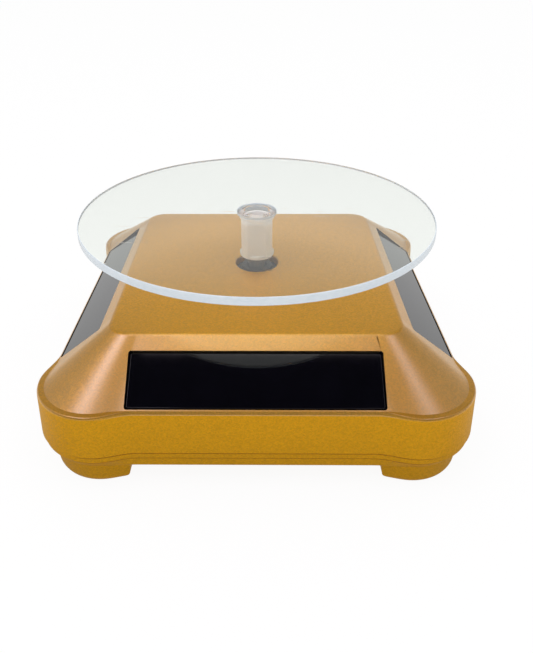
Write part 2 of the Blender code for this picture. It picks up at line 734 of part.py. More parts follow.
def make_disc():
    radius = DISC_DIAMETER / 2
    hole = DISC_HOLE / 2
    bottom = DISC_TOP - DISC_THICKNESS
    profile = [
        (hole, DISC_TOP),
        (radius - DISC_EDGE, DISC_TOP),
        (radius, DISC_TOP - DISC_EDGE),
        (radius, bottom + DISC_EDGE),
        (radius - DISC_EDGE, bottom),
        (hole, bottom),
    ]
    finish(turned(profile, SIDES_LARGE), "turntable_disc", CLEAR)


def make_post():
    """A clear tube: round collar, square body with cut corners, round foot."""
    collar = DISC_HOLE / 2 - GAP
    collar_bottom = DISC_TOP - POST_COLLAR_LENGTH
    body = POST_BODY_WIDTH / 2
    flat = body - POST_BODY_CHAMFER
    flange = POST_FLANGE_DIAMETER / 2
    profile = [
        (0.0, DISC_TOP),
        (collar, DISC_TOP),
        (flange, collar_bottom),
        (body - GAP, collar_bottom - GAP),
        (body - GAP, POST_BOTTOM + POST_FLANGE_HEIGHT + GAP),
        (flange, POST_BOTTOM + POST_FLANGE_HEIGHT),
        (flange, POST_BOTTOM),
        (0.0, POST_BOTTOM),
    ]
    post = turned(profile)
    body_top = collar_bottom + POST_COLLAR_LENGTH / 4
    corners = []
    for quarter in range(4):
        turn = Matrix.Rotation(quarter * pi / 2, 2)
        corners += [tuple(turn @ Vector((body, end * flat))) for end in (-1, 1)]
    join(post, slab(corners, POST_BOTTOM + GAP, body_top))
    cut(post, rod(SPINDLE_DIAMETER + 2 * GAP, 0.0, SPINDLE_TOP + GAP))
    cut(post, rod(POST_CUP_DIAMETER, SPINDLE_TOP, DISC_TOP + GAP))
    finish(post, "drive_post", CLEAR)


def make_spindle():
    journal = SPINDLE_JOURNAL / 2
    shaft = SPINDLE_DIAMETER / 2
    shoulder = SPINDLE_SHOULDER / 2
    shoulder_top = POST_BOTTOM - GAP
    shoulder_bottom = shoulder_top - SPINDLE_SHOULDER_HEIGHT
    neck = HIGH_LEVEL - GAP
    foot_end = GEARBOX_FLOOR_Z - BEARING_CUP_DEPTH / 2 + GAP
    profile = [
        (0.0, SPINDLE_TOP),
        (shaft - GAP, SPINDLE_TOP),
        (shaft, SPINDLE_TOP - GAP),
        (shaft, shoulder_top),
        (shoulder, shoulder_top),
        (shoulder, shoulder_bottom),
        (shaft, shoulder_bottom),
        (shaft, neck),
        (journal, neck),
        (journal, foot_end),
        (0.0, foot_end),
    ]
    finish(turned(profile), "drive_spindle", WHITE_PLASTIC)


# ---------------------------------------------------------------- gearbox


def make_output_gear():
    wheel = slab(gear_outline(WHEEL_TEETH, SECOND_GEAR_ANGLE), HIGH_LEVEL, HIGH_LEVEL + GEAR_FACE)
    cut(wheel, rod(SPINDLE_DIAMETER + 2 * GAP, 0.0, PLATE_HEIGHT, sides=SIDES_SMALL))
    finish(wheel, "output_gear", WHITE_PLASTIC)


def compound_gear(name, axis, level, wheel_turn, pinion_turn, look):
    """A wheel with a pinion above it and a hub down to the gearbox floor."""
    wheel = slab(gear_outline(WHEEL_TEETH, wheel_turn), 0.0, GEAR_FACE)
    pinion_top = GEAR_STEP + GEAR_FACE + GAP / 2
    join(wheel, slab(gear_outline(PINION_TEETH, pinion_turn), GEAR_FACE / 2, pinion_top))
    hub_bottom = GEARBOX_FLOOR_TOP + GAP - level
    join(wheel, rod(HUB_DIAMETER, hub_bottom, GEAR_FACE / 2, sides=SIDES_SMALL))
    cut(wheel, rod(PIN_BORE, 2 * hub_bottom, 2 * pinion_top, sides=SIDES_SMALL))
    for item in [step.object for step in wheel.modifiers]:
        item.parent = wheel
    wheel.location = (axis.x, axis.y, level)
    finish(wheel, name, look)


def tooth_gap(direction, teeth):
    """The turn that puts a gap between two teeth on a direction."""
    return direction + pi / teeth


def direction_between(start, end):
    return atan2(end.y - start.y, end.x - start.x)


def make_gears():
    to_first = direction_between(SECOND_AXIS, FIRST_AXIS)
    to_motor = direction_between(FIRST_AXIS, MOTOR_AXIS)
    from_output = tooth_gap(SECOND_GEAR_ANGLE + pi, PINION_TEETH)
    from_second = tooth_gap(to_first + pi, PINION_TEETH)
    compound_gear("second_gear", SECOND_AXIS, MIDDLE_LEVEL, to_first, from_output, GREY_PLASTIC)
    compound_gear("first_gear", FIRST_AXIS, LOW_LEVEL, to_motor, from_second, WHITE_PLASTIC)
    for name, axis in (("first_gear_pin", FIRST_AXIS), ("second_gear_pin", SECOND_AXIS)):
        pin = rod(PIN_DIAMETER, GEARBOX_FLOOR_Z, COVER_Z - GAP, axis.xy, SIDES_SMALL)
        finish(pin, name, STEEL)


def gearbox_outline(offset):
    """Box round the three wheels; offset is how far its wall stands off them."""
    reach = WHEEL_TIP + GEAR_ROOM + offset
    right = max(FIRST_AXIS.x, SECOND_AXIS.x) + reach
    front = min(FIRST_AXIS.y, -AXLE_DISTANCE / 2) - reach
    back = max(SECOND_AXIS.y, AXLE_DISTANCE / 2) + reach
    return rounded_rectangle(-reach, right, front, back, GEARBOX_CORNER + offset)


def make_gearbox_base():
    base = slab(gearbox_outline(GEARBOX_WALL), GEARBOX_FLOOR_Z, COVER_Z - GAP)
    for at in GEARBOX_BOSSES:
        inward = Vector((at.x, at.y, 0.0)) * 0.55
        middle = (at + inward) / 2
        if abs(at.x) > abs(at.y):
            size = (abs(at.x - inward.x), EAR_WIDTH, GEARBOX_FLOOR)
            middle.y = at.y
        else:
            size = (EAR_WIDTH, abs(at.y - inward.y), GEARBOX_FLOOR)
            middle.x = at.x
        join(base, box(size, (middle.x, middle.y, GEARBOX_FLOOR_Z + GEARBOX_FLOOR / 2)))
        join(base, rod(EAR_WIDTH, GEARBOX_FLOOR_Z, GEARBOX_FLOOR_TOP, at.xy, SIDES_SMALL))
        cut(base, rod(GEARBOX_SCREW_SHANK + 2 * GAP, 0.0, GEARBOX_FLOOR_TOP + GAP, at.xy, SIDES_SMALL))
    cut(base, slab(gearbox_outline(0.0), GEARBOX_FLOOR_TOP, PLATE_HEIGHT))
    cup_bottom = GEARBOX_FLOOR_Z - BEARING_CUP_DEPTH
    join(base, rod(BEARING_CUP_DIAMETER, cup_bottom, GEARBOX_FLOOR_Z + GAP, sides=SIDES_SMALL))
    journal_hole = SPINDLE_JOURNAL + 2 * GAP
    cut(base, rod(journal_hole, GEARBOX_FLOOR_Z - BEARING_CUP_DEPTH / 2, PLATE_HEIGHT, sides=SIDES_SMALL))
    motor_at = MOTOR_AXIS.xy
    collar_inside = MOTOR_DIAMETER + 2 * GAP
    collar_outside = collar_inside + 2 * GEARBOX_WALL
    collar_bottom = GEARBOX_FLOOR_Z - MOTOR_COLLAR_HEIGHT
    join(base, rod(collar_outside, collar_bottom, GEARBOX_FLOOR_Z + GAP, motor_at))
    cut(base, rod(collar_inside, 0.0, GEARBOX_FLOOR_Z, motor_at))
    cut(base, rod(HUB_DIAMETER, 0.0, GEARBOX_FLOOR_TOP + GAP, motor_at, SIDES_SMALL))
    for axis in (FIRST_AXIS, SECOND_AXIS):
        cut(base, rod(PIN_BORE, 0.0, PLATE_HEIGHT, axis.xy, SIDES_SMALL))
    finish(base, "gearbox_base", GREY_PLASTIC)


def make_gearbox_cover():
    cover = slab(gearbox_outline(GEARBOX_WALL), COVER_Z, COVER_Z + GEARBOX_COVER)
    cut(cover, rod(BUSH_DIAMETER + 2 * GAP, 0.0, PLATE_HEIGHT))
    finish(cover, "gearbox_cover", GREY_PLASTIC)


def make_bush():
    """Flanged bush that guides the spindle where it leaves the gearbox."""
    inside = SPINDLE_DIAMETER / 2 + GAP
    outside = BUSH_DIAMETER / 2
    flange = outside + (PLATE_HOLE / 2 - outside) / 2
    flange_bottom = COVER_Z + GEARBOX_COVER + GAP
    top = min(PLATE_HEIGHT, POST_BOTTOM - SPINDLE_SHOULDER_HEIGHT) - 2 * GAP
    flange_top = (flange_bottom + top) / 2
    profile = [
        (inside, top),
        (outside, top),
        (outside, flange_top),
        (flange, flange_top),
        (flange, flange_bottom),
        (outside, flange_bottom),
        (outside, COVER_Z - GAP),
        (inside, COVER_Z - GAP),
    ]
    finish(turned(profile), "spindle_bush", BLACK_PLASTIC)


# ---------------------------------------------------------------- motor


def make_motor():
    top = GEARBOX_FLOOR_Z - GAP
    bottom = top - MOTOR_LENGTH
    outside = MOTOR_DIAMETER / 2
    inside = outside - MOTOR_CAN_WALL
    bore = MOTOR_SHAFT / 2 + GAP
    at = tuple(MOTOR_AXIS)
    can = [
        (bore, top),
        (outside - MOTOR_CAN_WALL, top),
        (outside, top - MOTOR_CAN_WALL),
        (outside, bottom),
        (inside, bottom),
        (inside, top - MOTOR_CAN_WALL),
        (bore, top - MOTOR_CAN_WALL),
    ]
    finish(turned(can, at=at), "motor_can", STEEL)
    cap_top = bottom + MOTOR_CAP
    cap = rod(2 * inside - 2 * GAP, bottom, cap_top, MOTOR_AXIS.xy)
    cut(cap, rod(MOTOR_SHAFT + 2 * GAP, bottom + MOTOR_CAP / 2, 2 * cap_top, MOTOR_AXIS.xy, SIDES_SMALL))
    finish(cap, "motor_end_cap", WHITE_PLASTIC)
    pinion_top = LOW_LEVEL + GEAR_FACE + GAP
    shaft_bottom = bottom + MOTOR_CAP / 2 + GAP
    shaft = rod(MOTOR_SHAFT, shaft_bottom - LOW_LEVEL, pinion_top - LOW_LEVEL, sides=SIDES_SMALL)
    shaft.location = (MOTOR_AXIS.x, MOTOR_AXIS.y, LOW_LEVEL)
    finish(shaft, "motor_shaft", STEEL)
    turn = tooth_gap(direction_between(MOTOR_AXIS, FIRST_AXIS), PINION_TEETH)
    pinion = slab(gear_outline(PINION_TEETH, turn), LOW_LEVEL - GAP, pinion_top, MOTOR_AXIS.xy)
    cut(pinion, rod(MOTOR_SHAFT + 2 * GAP, 0.0, PLATE_HEIGHT, MOTOR_AXIS.xy, SIDES_SMALL))
    finish(pinion, "motor_pinion", BRASS)


# ---------------------------------------------------------------- electrics


CELL_START = -BAY_LENGTH / 2 + 2 * GAP + CONTACT_THICKNESS + SPRING_LENGTH


def make_cell():
    radius = CELL_DIAMETER / 2
    shoulder = CELL_LENGTH - CELL_NUB_LENGTH
    chamfer = 0.0006
    profile = [
        (0.0, CELL_LENGTH),
        (CELL_NUB_DIAMETER / 2, CELL_LENGTH),
        (CELL_NUB_DIAMETER / 2, shoulder),
        (radius - chamfer, shoulder),
        (radius, shoulder - chamfer),
        (radius, chamfer),
        (radius - chamfer, 0.0),
        (0.0, 0.0),
    ]
    cell = turned(profile)
    cell.rotation_euler = (0.0, pi / 2, 0.0)
    cell.location = (CELL_START, BAY_AT_Y, CELL_AXIS_Z)
    finish(cell, "battery_cell", CELL_SLEEVE)


def make_contacts():
    size = (CONTACT_THICKNESS, CELL_DIAMETER * 0.7, CELL_DIAMETER * 0.75)
    left = -BAY_LENGTH / 2 + GAP + CONTACT_THICKNESS / 2
    finish(box(size, (left, BAY_AT_Y, CELL_AXIS_Z)), "battery_contact_negative", BRASS)
    finish(box(size, (-left, BAY_AT_Y, CELL_AXIS_Z)), "battery_contact_positive", BRASS)
    start = left + CONTACT_THICKNESS / 2 + GAP + SPRING_WIRE / 2
    travel = CELL_START - GAP - SPRING_WIRE / 2 - start
    steps_per_turn = 10
    count = SPRING_TURNS * steps_per_turn
    points = []
    for index in range(count + 1):
        share = index / count
        turn = 2 * pi * SPRING_TURNS * share
        radius = SPRING_RADIUS * (1.0 + 0.6 * (1.0 - share))
        place = (start + travel * share, BAY_AT_Y + radius * cos(turn), CELL_AXIS_Z + radius * sin(turn))
        points.append(place)
    spring = tube("battery_spring", points, SPRING_WIRE, STEEL)
    spring.data.bevel_resolution = 1


def make_switch():
    body_bottom = TRAY_FLOOR_TOP + GAP
    body = box(SWITCH_BODY, (0.0, SWITCH_AT_Y, body_bottom + SWITCH_BODY[2] / 2))
    channel = (KNOB_WIDTH + KNOB_TRAVEL + 4 * GAP, KNOB_DEPTH + 2 * GAP, SWITCH_BODY[2])
    cut(body, box(channel, (0.0, SWITCH_AT_Y, body_bottom)))
    finish(body, "switch_body", BLACK_PLASTIC)
    bottom = FLOOR_CLEARANCE - KNOB_STAND_OUT
    top = body_bottom + SWITCH_BODY[2] / 2 - GAP
    knob = box((KNOB_WIDTH, KNOB_DEPTH, top - bottom), (0.0, 0.0, (bottom + top) / 2))
    knob.location = (-KNOB_TRAVEL / 2, SWITCH_AT_Y, 0.0)
    finish(knob, "switch_knob", WHITE_PLASTIC)


def make_board():
    board = box((*BOARD_SIZE, BOARD_THICKNESS), (BOARD_AT_X, 0.0, BOARD_Z + BOARD_THICKNESS / 2))
    for end in (-1, 1):
        at = (BOARD_AT_X, end * (BOARD_SIZE[1] / 2 - BOARD_POST_INSET))
        cut(board, rod(BOARD_POST / 2 + 2 * GAP, 0.0, PLATE_HEIGHT, at, SIDES_SMALL))
    finish(board, "circuit_board", BOARD_GREEN)
    radius = CAPACITOR_DIAMETER / 2
    bottom = BOARD_Z + BOARD_THICKNESS + GAP
    top = bottom + CAPACITOR_HEIGHT
    groove = bottom + radius * 0.4
    profile = [
        (0.0, top),
        (radius - GAP, top),
        (radius, top - GAP),
        (radius, groove + GAP),
        (radius - GAP, groove),
        (radius, groove - GAP),
        (radius, bottom),
        (0.0, bottom),
    ]
    finish(turned(profile, at=(BOARD_AT_X, 0.0, 0.0)), "storage_capacitor", CELL_SLEEVE)


def make_leads():
    """Two leads from the board to the battery contacts and two to the motor."""
    top = BOARD_Z + BOARD_THICKNESS + GAP + LEAD_DIAMETER / 2
    back = BOARD_SIZE[1] / 2
    right = BOARD_AT_X + BOARD_SIZE[0] / 2
    bay_front = BAY_AT_Y - BAY_WIDTH / 2 - BAY_WALL
    wall_clear = bay_front - LEAD_DIAMETER
    contact_x = BAY_LENGTH / 2 + BAY_WALL + GAP + LEAD_DIAMETER / 2
    above_bay = TRAY_FLOOR_TOP + BAY_HEIGHT + LEAD_DIAMETER + GAP
    negative = [
        (BOARD_AT_X - BOARD_SIZE[0] / 4, back - LEAD_DIAMETER, top),
        (BOARD_AT_X - BOARD_SIZE[0] / 4, back + 2 * LEAD_DIAMETER, top + LEAD_DIAMETER),
        (-contact_x - LEAD_DIAMETER, wall_clear, top + LEAD_DIAMETER),
        (-contact_x, BAY_AT_Y - LEAD_DIAMETER, above_bay - 2 * LEAD_DIAMETER),
    ]
    positive = [
        (right - 2 * LEAD_DIAMETER, back - LEAD_DIAMETER, top),
        (right, wall_clear - LEAD_DIAMETER, top),
        (0.0, wall_clear, top),
        (contact_x - 3 * LEAD_DIAMETER, wall_clear - LEAD_DIAMETER, top),
        (contact_x, bay_front + 3 * LEAD_DIAMETER, top + LEAD_DIAMETER),
        (contact_x, BAY_AT_Y - LEAD_DIAMETER, top + LEAD_DIAMETER),
    ]
    tube("battery_lead_black", smooth_route(negative), LEAD_DIAMETER, BLACK_LEAD)
    tube("battery_lead_red", smooth_route(positive), LEAD_DIAMETER, RED_LEAD)
    motor_side = MOTOR_AXIS.x - MOTOR_DIAMETER / 2 - GAP - LEAD_DIAMETER / 2
    for name, shift, look in (("motor_lead_red", 1, RED_LEAD), ("motor_lead_black", -1, BLACK_LEAD)):
        start_y = MOTOR_AXIS.y + shift * LEAD_DIAMETER * 1.2
        board_y = shift * 1.5 * LEAD_DIAMETER - back / 2
        route = [
            (motor_side, start_y, top - LEAD_DIAMETER),
            (motor_side - (3 - shift) * LEAD_DIAMETER, start_y, top),
            (right + (2 + shift) * LEAD_DIAMETER, board_y, top + LEAD_DIAMETER),
            (right - 2 * LEAD_DIAMETER, board_y, top),
        ]
        tube(name, smooth_route(route), LEAD_DIAMETER, look)


def main():
    make_top_shell()
    make_solar_panels()
    make_bottom_tray()
    make_battery_door()
    make_disc()
    make_post()
    make_spindle()
    make_output_gear()
    make_gears()
    make_gearbox_base()
    make_gearbox_cover()
    make_bush()
    make_motor()
    make_cell()
    make_contacts()
    make_switch()
    make_board()
    make_leads()
    make_screws()


main()
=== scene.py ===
"""Looks of the turntable display stand: satin gold case, black solar panels, clear platform."""

from math import atan, cos, hypot, pi, radians, sin, tan

import bmesh
import bpy
from mathutils import Matrix, Vector


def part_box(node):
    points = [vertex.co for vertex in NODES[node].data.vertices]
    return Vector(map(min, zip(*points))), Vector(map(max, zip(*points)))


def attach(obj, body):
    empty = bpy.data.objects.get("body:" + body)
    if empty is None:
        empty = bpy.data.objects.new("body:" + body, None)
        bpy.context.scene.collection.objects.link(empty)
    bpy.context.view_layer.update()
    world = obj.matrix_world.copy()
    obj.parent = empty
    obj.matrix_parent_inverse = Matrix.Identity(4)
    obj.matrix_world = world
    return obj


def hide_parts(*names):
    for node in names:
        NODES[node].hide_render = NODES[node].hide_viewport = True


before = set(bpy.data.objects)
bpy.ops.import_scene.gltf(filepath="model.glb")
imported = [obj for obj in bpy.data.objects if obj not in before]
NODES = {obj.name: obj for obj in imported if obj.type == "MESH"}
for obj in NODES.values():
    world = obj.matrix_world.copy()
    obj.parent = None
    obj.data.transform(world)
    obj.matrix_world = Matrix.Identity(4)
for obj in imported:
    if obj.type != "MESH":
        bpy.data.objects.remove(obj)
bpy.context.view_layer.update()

# ---------------------------------------------------------------- sizes, in metres

GAP = 0.0003  # between pieces that touch

# Base outline: flat sides and a round lobe at each corner
WALL_HALF_RIM = 0.0476
WALL_HALF_FOOT = 0.0484
LOBE_CENTRE = 0.0356
LOBE_RADIUS_RIM = 0.01405
LOBE_RADIUS_FOOT = 0.0145
FLAT_END = 0.026
LOBE_STEPS = 20
SWELL_STEPS = 10
HEM = 0.0002  # fine bevel at the shell's lower edge
LOBE_RIM_SHARE = 0.7  # how far a lobe's rim draws in, as a share of its fillet

# Heights, read from the frame
DISC_LOW, DISC_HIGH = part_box("turntable_disc")
POST_LOW, POST_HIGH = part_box("drive_post")
PLATE_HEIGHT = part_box("top_shell")[1][2]
PARTING = 0.0090
PARTING_GAP = 0.0003
RIM_HEIGHT = 0.02005
FLOOR_CLEARANCE = 0.0048

# Top shell
SHELL_WALL = 0.002
SLOPE_WALL = 0.003
SLOPE_BASE_HALF = 0.0471
SLOPE_BASE_CORNER = 0.013
LEDGE_LOBE = 0.0016  # width of the ledge round the lobes
SLOPE_FLAT_END = 0.0285  # where a slope's foot starts to swell into its corner
SLOPE_ANGLE = radians(38.0)
PLATE_CORNER = 0.0045
PLATE_FILLET = 0.0016
RIM_FILLET = 0.0008
PLATE_HOLE = 0.0113
BOSS_BOTTOM = 0.006

# Windows and solar panels
WINDOW_WIDTH = 0.0562
WINDOW_HEIGHT = 0.0131
WINDOW_LIP = 0.0003
WINDOW_DEPTH = 0.0019
PANEL_THICKNESS = 0.0012
PANEL_VENT = (0.044, 0.006)
LIP_BEVEL = 0.00028
PANEL_LEAN = radians(2.85)  # each panel rests a little steeper than its slope
PANEL_BEVEL = 0.00025
WINDOW_CORNER = 0.0006
CORNER_STEPS = 4
SHARP_EDGE = radians(50)  # edges that turn less than this aren't a window's mouth
NEAR = 0.0001  # reach within which a point counts as lying on a window

# Bottom tray
TRAY_HALF = 0.0479
TRAY_RADIUS = LOBE_RADIUS_FOOT - (WALL_HALF_FOOT - TRAY_HALF)
TRAY_STEP = 0.0003
TRAY_LOBE_DRAFT = 0.0012
TRAY_BAND = 0.0026
TRAY_FLOOR = 0.002
TRAY_LIP = 0.0018
TRAY_LIP_WALL = 0.0012
FOOT_INSIDE_TOP = 0.0284
FOOT_INSIDE_BOTTOM = 0.0288
FOOT_TAPER = 0.0020
FOOT_WALL = 0.0025
CASE_SCREW_AT = 0.0375
SCREW_SHANK = 0.0026
SCREW_HEAD = 0.0052
HEAD_RECESS = 0.0031
BOSS_WALL = 0.0019
SCREW_HOLE_TOP = 0.0141
FOOT_ROUND = 0.0012
TRAY_FLOOR_TOP = FLOOR_CLEARANCE + TRAY_FLOOR
BAY_AT_Y = 0.030
BAY_LENGTH = 0.0552
BAY_WIDTH = 0.0152
BAY_HEIGHT = 0.009
BAY_WALL = 0.0012
SWITCH_AT_Y = -0.034
SWITCH_SLOT = (0.0072, 0.0032, 0.008)

# Turntable
DISC_HOLE = 0.0100
DISC_EDGE = 0.00025
COLLAR_CHAMFER = 0.0007
POST_COLLAR_LENGTH = 0.0033
POST_BAND = 0.0013
POST_BODY_WIDTH = 0.0080
POST_BODY_CHAMFER = 0.0016
POST_FLANGE_DIAMETER = 0.0090
POST_FLANGE_HEIGHT = 0.0011
POST_CUP_DIAMETER = 0.0061
POST_CUP_DEPTH = 0.0032
SPINDLE_DIAMETER = 0.0046
SPINDLE_DARK = 0.0350  # height up to which the spindle is dark
SPINDLE_PALE = 0.0368  # and from which it is pale

# ---------------------------------------------------------------- camera, as in the photograph

CAMERA_ELEVATION = radians(28.78)
CAMERA_YAW = radians(0.61)
CAMERA_ROLL = radians(-0.25)
CAMERA_DISTANCE = 0.17186
CAMERA_TARGET = Vector((0.0, 0.0, 0.025))
CAMERA_LENS = 34.535
CAMERA_SHIFT = (0.0144, -0.0648)


def add_camera():
    back = Vector((
        sin(CAMERA_YAW) * cos(CAMERA_ELEVATION),
        -cos(CAMERA_YAW) * cos(CAMERA_ELEVATION),
        sin(CAMERA_ELEVATION),
    ))
    right = (-back).cross(Vector((0.0, 0.0, 1.0))).normalized()
    up = right.cross(-back)
    rolled_right = right * cos(CAMERA_ROLL) + up * sin(CAMERA_ROLL)
    rolled_up = up * cos(CAMERA_ROLL) - right * sin(CAMERA_ROLL)
    axes = Matrix((rolled_right, rolled_up, back)).transposed().to_4x4()
    data = bpy.data.cameras.new("camera")
    data.lens = CAMERA_LENS
    data.sensor_width = 36.0
    data.shift_x, data.shift_y = CAMERA_SHIFT
    data.clip_start = 0.005
    camera = bpy.data.objects.new("camera", data)
    camera.matrix_world = Matrix.Translation(CAMERA_TARGET + back * CAMERA_DISTANCE) @ axes
    bpy.context.scene.collection.objects.link(camera)
    bpy.context.scene.camera = camera


# ---------------------------------------------------------------- mesh helpers


def link(made):
    bpy.context.scene.collection.objects.link(made)
    return made


def mesh_object(name, shape, recalculate=True):
    if recalculate:
        bmesh.ops.recalc_face_normals(shape, faces=shape.faces)
    data = bpy.data.meshes.new(name)
    shape.to_mesh(data)
    shape.free()
    return link(bpy.data.objects.new(name, data))


def box(size, centre):
    shape = bmesh.new()
    bmesh.ops.create_cube(shape, size=1.0, matrix=Matrix.Translation(centre) @ Matrix.Diagonal((*size, 1.0)))
    return mesh_object("box", shape)


def rod(diameter, bottom, top, at=(0.0, 0.0), sides=48):
    shape = bmesh.new()
    bmesh.ops.create_cone(
        shape,
        cap_ends=True,
        segments=sides,
        radius1=diameter / 2,
        radius2=diameter / 2,
        depth=top - bottom,
        matrix=Matrix.Translation((at[0], at[1], (bottom + top) / 2)),
    )
    return mesh_object("rod", shape)


def loft(name, rings):
    """A closed solid through rings of equally many points, listed upwards."""
    shape = bmesh.new()
    rows = [[shape.verts.new(point) for point in ring] for ring in rings]
    count = len(rings[0])
    for low, high in zip(rows, rows[1:]):
        for index in range(count):
            after = (index + 1) % count
            shape.faces.new((low[index], low[after], high[after], high[index]))
    shape.faces.new(list(reversed(rows[0])))
    shape.faces.new(rows[-1])
    return mesh_object(name, shape)


def turned(name, profile, sides=96, closed=False):
    """A profile of (radius, height) points turned round Z."""
    shape = bmesh.new()
    points = [shape.verts.new((radius, 0.0, height)) for radius, height in profile]
    edges = [shape.edges.new(pair) for pair in zip(points, points[1:])]
    if closed:
        edges.append(shape.edges.new((points[-1], points[0])))
    bmesh.ops.spin(
        shape,
        geom=points + edges,
        cent=(0.0, 0.0, 0.0),
        axis=(0.0, 0.0, 1.0),
        angle=2 * pi,
        steps=sides,
        use_merge=True,
    )
    bmesh.ops.remove_doubles(shape, verts=shape.verts, dist=0.000002)
    return mesh_object(name, shape)


def apply_modifiers(made):
    graph = bpy.context.evaluated_depsgraph_get()
    data = bpy.data.meshes.new_from_object(made.evaluated_get(graph))
    made.modifiers.clear()
    made.data = data
    return made


def combine(target, others, operation):
    """Boolean each of the others into the target, in turn, and remove them."""
    for other in others:
        step = target.modifiers.new(operation, "BOOLEAN")
        step.operation = operation
        step.solver = "EXACT"
        step.object = other
    bpy.context.view_layer.update()
    apply_modifiers(target)
    for other in others:
        bpy.data.objects.remove(other, do_unlink=True)
    return target


def bevel_where(made, chosen, width, segments=2):
    """Round the edges for which chosen(edge) is true."""
    shape = bmesh.new()
    shape.from_mesh(made.data)
    picked = [edge for edge in shape.edges if len(edge.link_faces) == 2 and chosen(edge)]
    bmesh.ops.bevel(
        shape,
        geom=picked,
        offset=width,
        offset_type="OFFSET",
        segments=segments,
        profile=0.5,
        affect="EDGES",
        clamp_overlap=True,
    )
    shape.to_mesh(made.data)
    shape.free()
    return made


def smooth(made, angle=28.0):
    """Smooth shading in which large flat faces stay flat beside their rounded edges."""
    made.data.shade_smooth()
    made.data.set_sharp_from_angle(angle=radians(angle))
    step = made.modifiers.new("normals", "WEIGHTED_NORMAL")
    step.mode = "FACE_AREA"
    step.weight = 100
    step.keep_sharp = True
    bpy.context.view_layer.update()
    return apply_modifiers(made)


def arc(steps):
    """Angles from 0 to 90 degrees."""
    return [pi / 2 * index / steps for index in range(steps + 1)]


# ---------------------------------------------------------------- outlines


def swell(t):
    t = min(max(t, 0.0), 1.0)
    return t * t * (3 - 2 * t)


def corner_outline(half, radius, start, centre=LOBE_CENTRE, flat_end=FLAT_END):
    bulge = centre + radius - half
    side = []
    for index in range(SWELL_STEPS):
        along = start + (centre - start) * index / SWELL_STEPS
        side.append((half + bulge * swell((along - flat_end) / (centre - flat_end)), along))
    lobe = [(centre + radius * cos(turn), centre + radius * sin(turn)) for turn in arc(LOBE_STEPS)]
    return side + lobe + [(y, x) for x, y in reversed(side)]


def base_ring(height, half, radius, centre=LOBE_CENTRE, flat_end=FLAT_END):
    ring = []
    quarter = corner_outline(half, radius, flat_end, centre, flat_end)
    for side in range(4):
        turn = Matrix.Rotation(side * pi / 2, 3, "Z")
        ring += [turn @ Vector((x, y, height)) for x, y in quarter]
    return ring


def square_ring(height, half, corner):
    centre = half - corner
    return base_ring(height, half, corner, centre, min(FLAT_END, centre - corner / 4))


# ---------------------------------------------------------------- top shell


def slope_point(distance, depth=0.0):
    outward = SLOPE_BASE_HALF - distance * cos(SLOPE_ANGLE) - depth * sin(SLOPE_ANGLE)
    return outward, RIM_HEIGHT + distance * sin(SLOPE_ANGLE) - depth * cos(SLOPE_ANGLE)


def slope_frame(side):
    outward, height = slope_point(WINDOW_LIP + WINDOW_HEIGHT / 2)
    tilt = Matrix.Rotation(SLOPE_ANGLE, 4, "X")
    place = Matrix.Translation((0.0, -outward, height))
    return Matrix.Rotation(side * pi / 2, 4, "Z") @ place @ tilt


def slope_slab(side, width, height, corner, bottom, top, bevel=0.0):
    """A slab with round corners in a window's own directions; bevel rounds its upper rim."""
    levels = [(bottom, 0.0)]
    if bevel:
        levels += [(top - bevel * (1 - sin(turn)), bevel * (1 - cos(turn))) for turn in arc(3)]
    else:
        levels.append((top, 0.0))
    rings = []
    for level, inset in levels:
        ring = []
        for quarter in range(4):
            across = (width, height) if quarter % 2 == 0 else (height, width)
            centre = Vector((across[0] / 2 - corner, across[1] / 2 - corner))
            for angle in arc(CORNER_STEPS):
                point = centre + Vector((cos(angle), sin(angle))) * (corner - inset)
                point = Matrix.Rotation(quarter * pi / 2, 2) @ point
                ring.append(Vector((point.x, point.y, level)))
        rings.append(ring)
    made = loft("slab", rings)
    made.data.transform(slope_frame(side))
    return made


FILLET_REACH = PLATE_FILLET * tan(SLOPE_ANGLE / 2)
SLOPE_LENGTH = (PLATE_HEIGHT - RIM_HEIGHT) / sin(SLOPE_ANGLE)
CORNERS = ((1, 1), (-1, 1), (-1, -1), (1, -1))


def shell_outside():
    edge = slope_point(SLOPE_LENGTH)[0]
    blend, blend_height = slope_point(SLOPE_LENGTH - FILLET_REACH)
    bottom = PARTING + PARTING_GAP / 2
    rings = [
        base_ring(bottom, WALL_HALF_FOOT - HEM, LOBE_RADIUS_FOOT - HEM),
        base_ring(bottom + HEM, WALL_HALF_FOOT, LOBE_RADIUS_FOOT),
    ]
    ledge = WALL_HALF_RIM - SLOPE_BASE_HALF - GAP / 10
    for turn in arc(5):
        height = RIM_HEIGHT - RIM_FILLET * (1 - sin(turn))
        inset = RIM_FILLET * LOBE_RIM_SHARE * (1 - cos(turn))
        rings.append(base_ring(height, WALL_HALF_RIM - ledge * sin(turn), LOBE_RADIUS_RIM - inset))
    foot_radius = LOBE_RADIUS_RIM - LEDGE_LOBE
    rings.append(base_ring(RIM_HEIGHT + GAP / 30, SLOPE_BASE_HALF, foot_radius, flat_end=SLOPE_FLAT_END))
    rings.append(square_ring(blend_height, blend, PLATE_CORNER + FILLET_REACH))
    steps = 6
    for index in range(1, steps + 1):
        lean = SLOPE_ANGLE * (1 - index / steps)
        drop = PLATE_FILLET * (1 - cos(lean))
        out = edge - FILLET_REACH + PLATE_FILLET * sin(lean)
        corner = PLATE_CORNER + FILLET_REACH * lean / SLOPE_ANGLE
        rings.append(square_ring(PLATE_HEIGHT - drop, out, corner))
    return loft("shell", rings)


